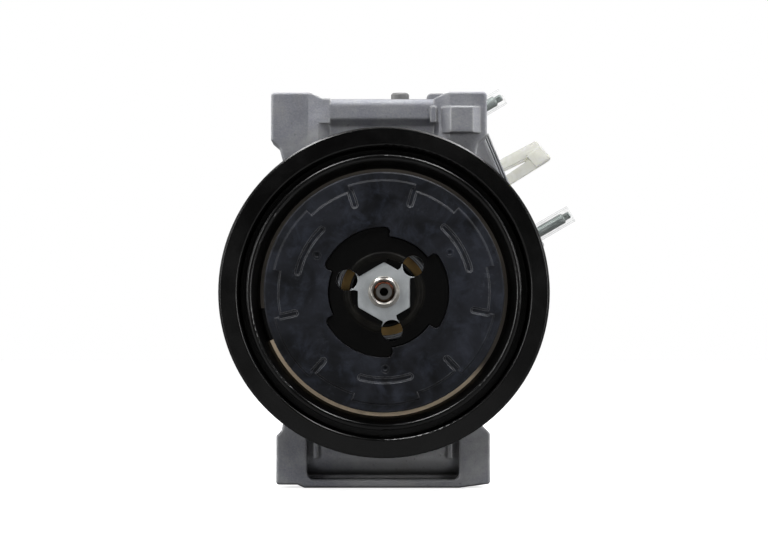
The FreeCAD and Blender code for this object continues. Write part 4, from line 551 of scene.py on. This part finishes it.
def locking_compound():
    """Uneven bead of thread lock between the shaft's end and its nut, over the top."""
    nut_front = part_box("shaft_nut")[0].y
    back = Vector((0, 1, 0))
    rings = []
    for degree in range(90 - LOCK_HALF, 91 + LOCK_HALF, 2):
        a = math.radians(degree)
        out = Vector((math.cos(a), 0, math.sin(a)))
        lump = 0.72 + 0.28 * math.sin(degree * 0.23) * math.cos(degree * 0.11 + 1.0)
        thick = LOCK_THICK * lump * min(1.0, 0.25 + (LOCK_HALF - abs(degree - 90)) / LOCK_END)
        centre = LOCK_R * out + (nut_front + LOCK_BACK) * back
        turns = [2 * math.pi * k / LOCK_AROUND for k in range(LOCK_AROUND)]
        rings.append([centre + thick * (math.cos(t) * out + 0.8 * math.sin(t) * back) for t in turns])
    piece_of("thread_lock", [skin(rings)], "thread_lock", "shaft")


port_studs()
locking_compound()


# ---- stage, lights and camera ----
FLOOR_R = 9.0
FLOOR_GAP = 0.0002           # under the part's lowest point
FLOOR_GLOW = 0.74
WORLD_FRONT = 0.012          # strength of the light from in front of the clutch
WORLD_BACK = 0.9             # and from behind the part
CAMERA_AIM = Vector((0, 0, 0.0087))
CAMERA_FAR = 1.1
CAMERA_RISE = math.radians(-1.5)
CAMERA_LENS = 137.0

# name, place, target, size, power
LIGHTS = [
    ("key", (-0.50, -0.42, 1.15), (0, 0.03, 0.02), (0.6, 0.3), 10),
    ("fill", (0.55, -0.38, 1.15), (0, 0.03, 0.02), (0.5, 0.3), 8),
    ("front_left", (-0.95, -1.35, 0.22), (0, 0.03, -0.02), (0.45, 0.6), 5),
    ("front_right", (0.95, -1.35, 0.22), (0, 0.03, -0.02), (0.45, 0.6), 5),
    ("top", (0.1, 0.30, 1.3), (0, 0.08, 0.05), (1.2, 0.9), 9),
    ("left", (-1.2, 0.15, 0.35), (0, 0.08, 0), (0.5, 0.9), 7),
    ("right", (1.2, 0.15, 0.45), (0, 0.08, 0), (0.5, 0.9), 7),
]


def backdrop_material():
    """Pale floor with a faint contact shadow; only a little of it shows in the part's reflections."""
    m = Maker("stage_white")
    tone = m.noise(3, 3, 0.5)
    m.set(Base_Color=m.mix(tone, grey(0.93), grey(0.96)), Roughness=m.ramp(tone, 0, 1, 0.6, 0.7))
    m.set(Emission_Color=grey(1.0), Emission_Strength=FLOOR_GLOW)
    dim = m.node("ShaderNodeBsdfDiffuse", Color=grey(0.16))
    blend = m.tree.nodes.new("ShaderNodeMixShader")
    seen = m.tree.nodes.new("ShaderNodeLightPath").outputs["Is Camera Ray"]
    for socket, value in zip(blend.inputs, (seen, dim.outputs[0], m.shader.outputs[0])):
        m.tree.links.new(value, socket)
    m.tree.links.new(blend.outputs[0], m.out.inputs["Surface"])
    return m.mat


def floor():
    mesh = bpy.data.meshes.new("floor")
    b = bmesh.new()
    bmesh.ops.create_circle(b, cap_ends=True, radius=FLOOR_R, segments=96)
    b.to_mesh(mesh)
    b.free()
    obj = bpy.data.objects.new("floor", mesh)
    obj.location = (0, 0, cad_low.z - FLOOR_GAP)
    scene.collection.objects.link(obj)
    mesh.materials.append(backdrop_material())


def area(name, place, target, size, power):
    data = bpy.data.lights.new(name, "AREA")
    data.shape = "RECTANGLE"
    data.size, data.size_y = size
    data.energy = power
    obj = bpy.data.objects.new(name, data)
    obj.location = place
    obj.rotation_euler = (Vector(target) - Vector(place)).to_track_quat("-Z", "Y").to_euler()
    scene.collection.objects.link(obj)


def world():
    """White to the camera; as light, dim in front of the clutch and bright behind the part."""
    w = bpy.data.worlds.new("studio")
    w.use_nodes = True
    scene.world = w
    tree = w.node_tree
    tree.nodes.clear()
    out = tree.nodes.new("ShaderNodeOutputWorld")
    seen, light = tree.nodes.new("ShaderNodeBackground"), tree.nodes.new("ShaderNodeBackground")
    seen.inputs["Color"].default_value = grey(1.0)
    seen.inputs["Strength"].default_value = 1.0
    coords = tree.nodes.new("ShaderNodeTexCoord")
    split = tree.nodes.new("ShaderNodeSeparateXYZ")
    tree.links.new(coords.outputs["Generated"], split.inputs[0])
    rise = tree.nodes.new("ShaderNodeMapRange")
    rise.inputs["From Min"].default_value, rise.inputs["From Max"].default_value = -0.5, 0.9
    rise.inputs["To Min"].default_value, rise.inputs["To Max"].default_value = WORLD_FRONT, WORLD_BACK
    tree.links.new(split.outputs["Y"], rise.inputs["Value"])
    tree.links.new(rise.outputs[0], light.inputs["Strength"])
    path, mix = tree.nodes.new("ShaderNodeLightPath"), tree.nodes.new("ShaderNodeMixShader")
    tree.links.new(path.outputs["Is Camera Ray"], mix.inputs[0])
    tree.links.new(light.outputs[0], mix.inputs[1])
    tree.links.new(seen.outputs[0], mix.inputs[2])
    tree.links.new(mix.outputs[0], out.inputs["Surface"])


def camera():
    """Looks along the shaft from just under its level."""
    data = bpy.data.cameras.new("camera")
    data.sensor_width = 36.0
    data.lens = CAMERA_LENS
    data.clip_start, data.clip_end = 0.05, 30.0
    obj = bpy.data.objects.new("camera", data)
    obj.location = CAMERA_AIM + CAMERA_FAR * Vector((0, -math.cos(CAMERA_RISE), math.sin(CAMERA_RISE)))
    obj.rotation_euler = (CAMERA_AIM - obj.location).to_track_quat("-Z", "Y").to_euler()
    scene.collection.objects.link(obj)
    scene.camera = obj


world()
floor()
for light in LIGHTS:
    area(*light)
camera()
scene.view_settings.view_transform = "Standard"
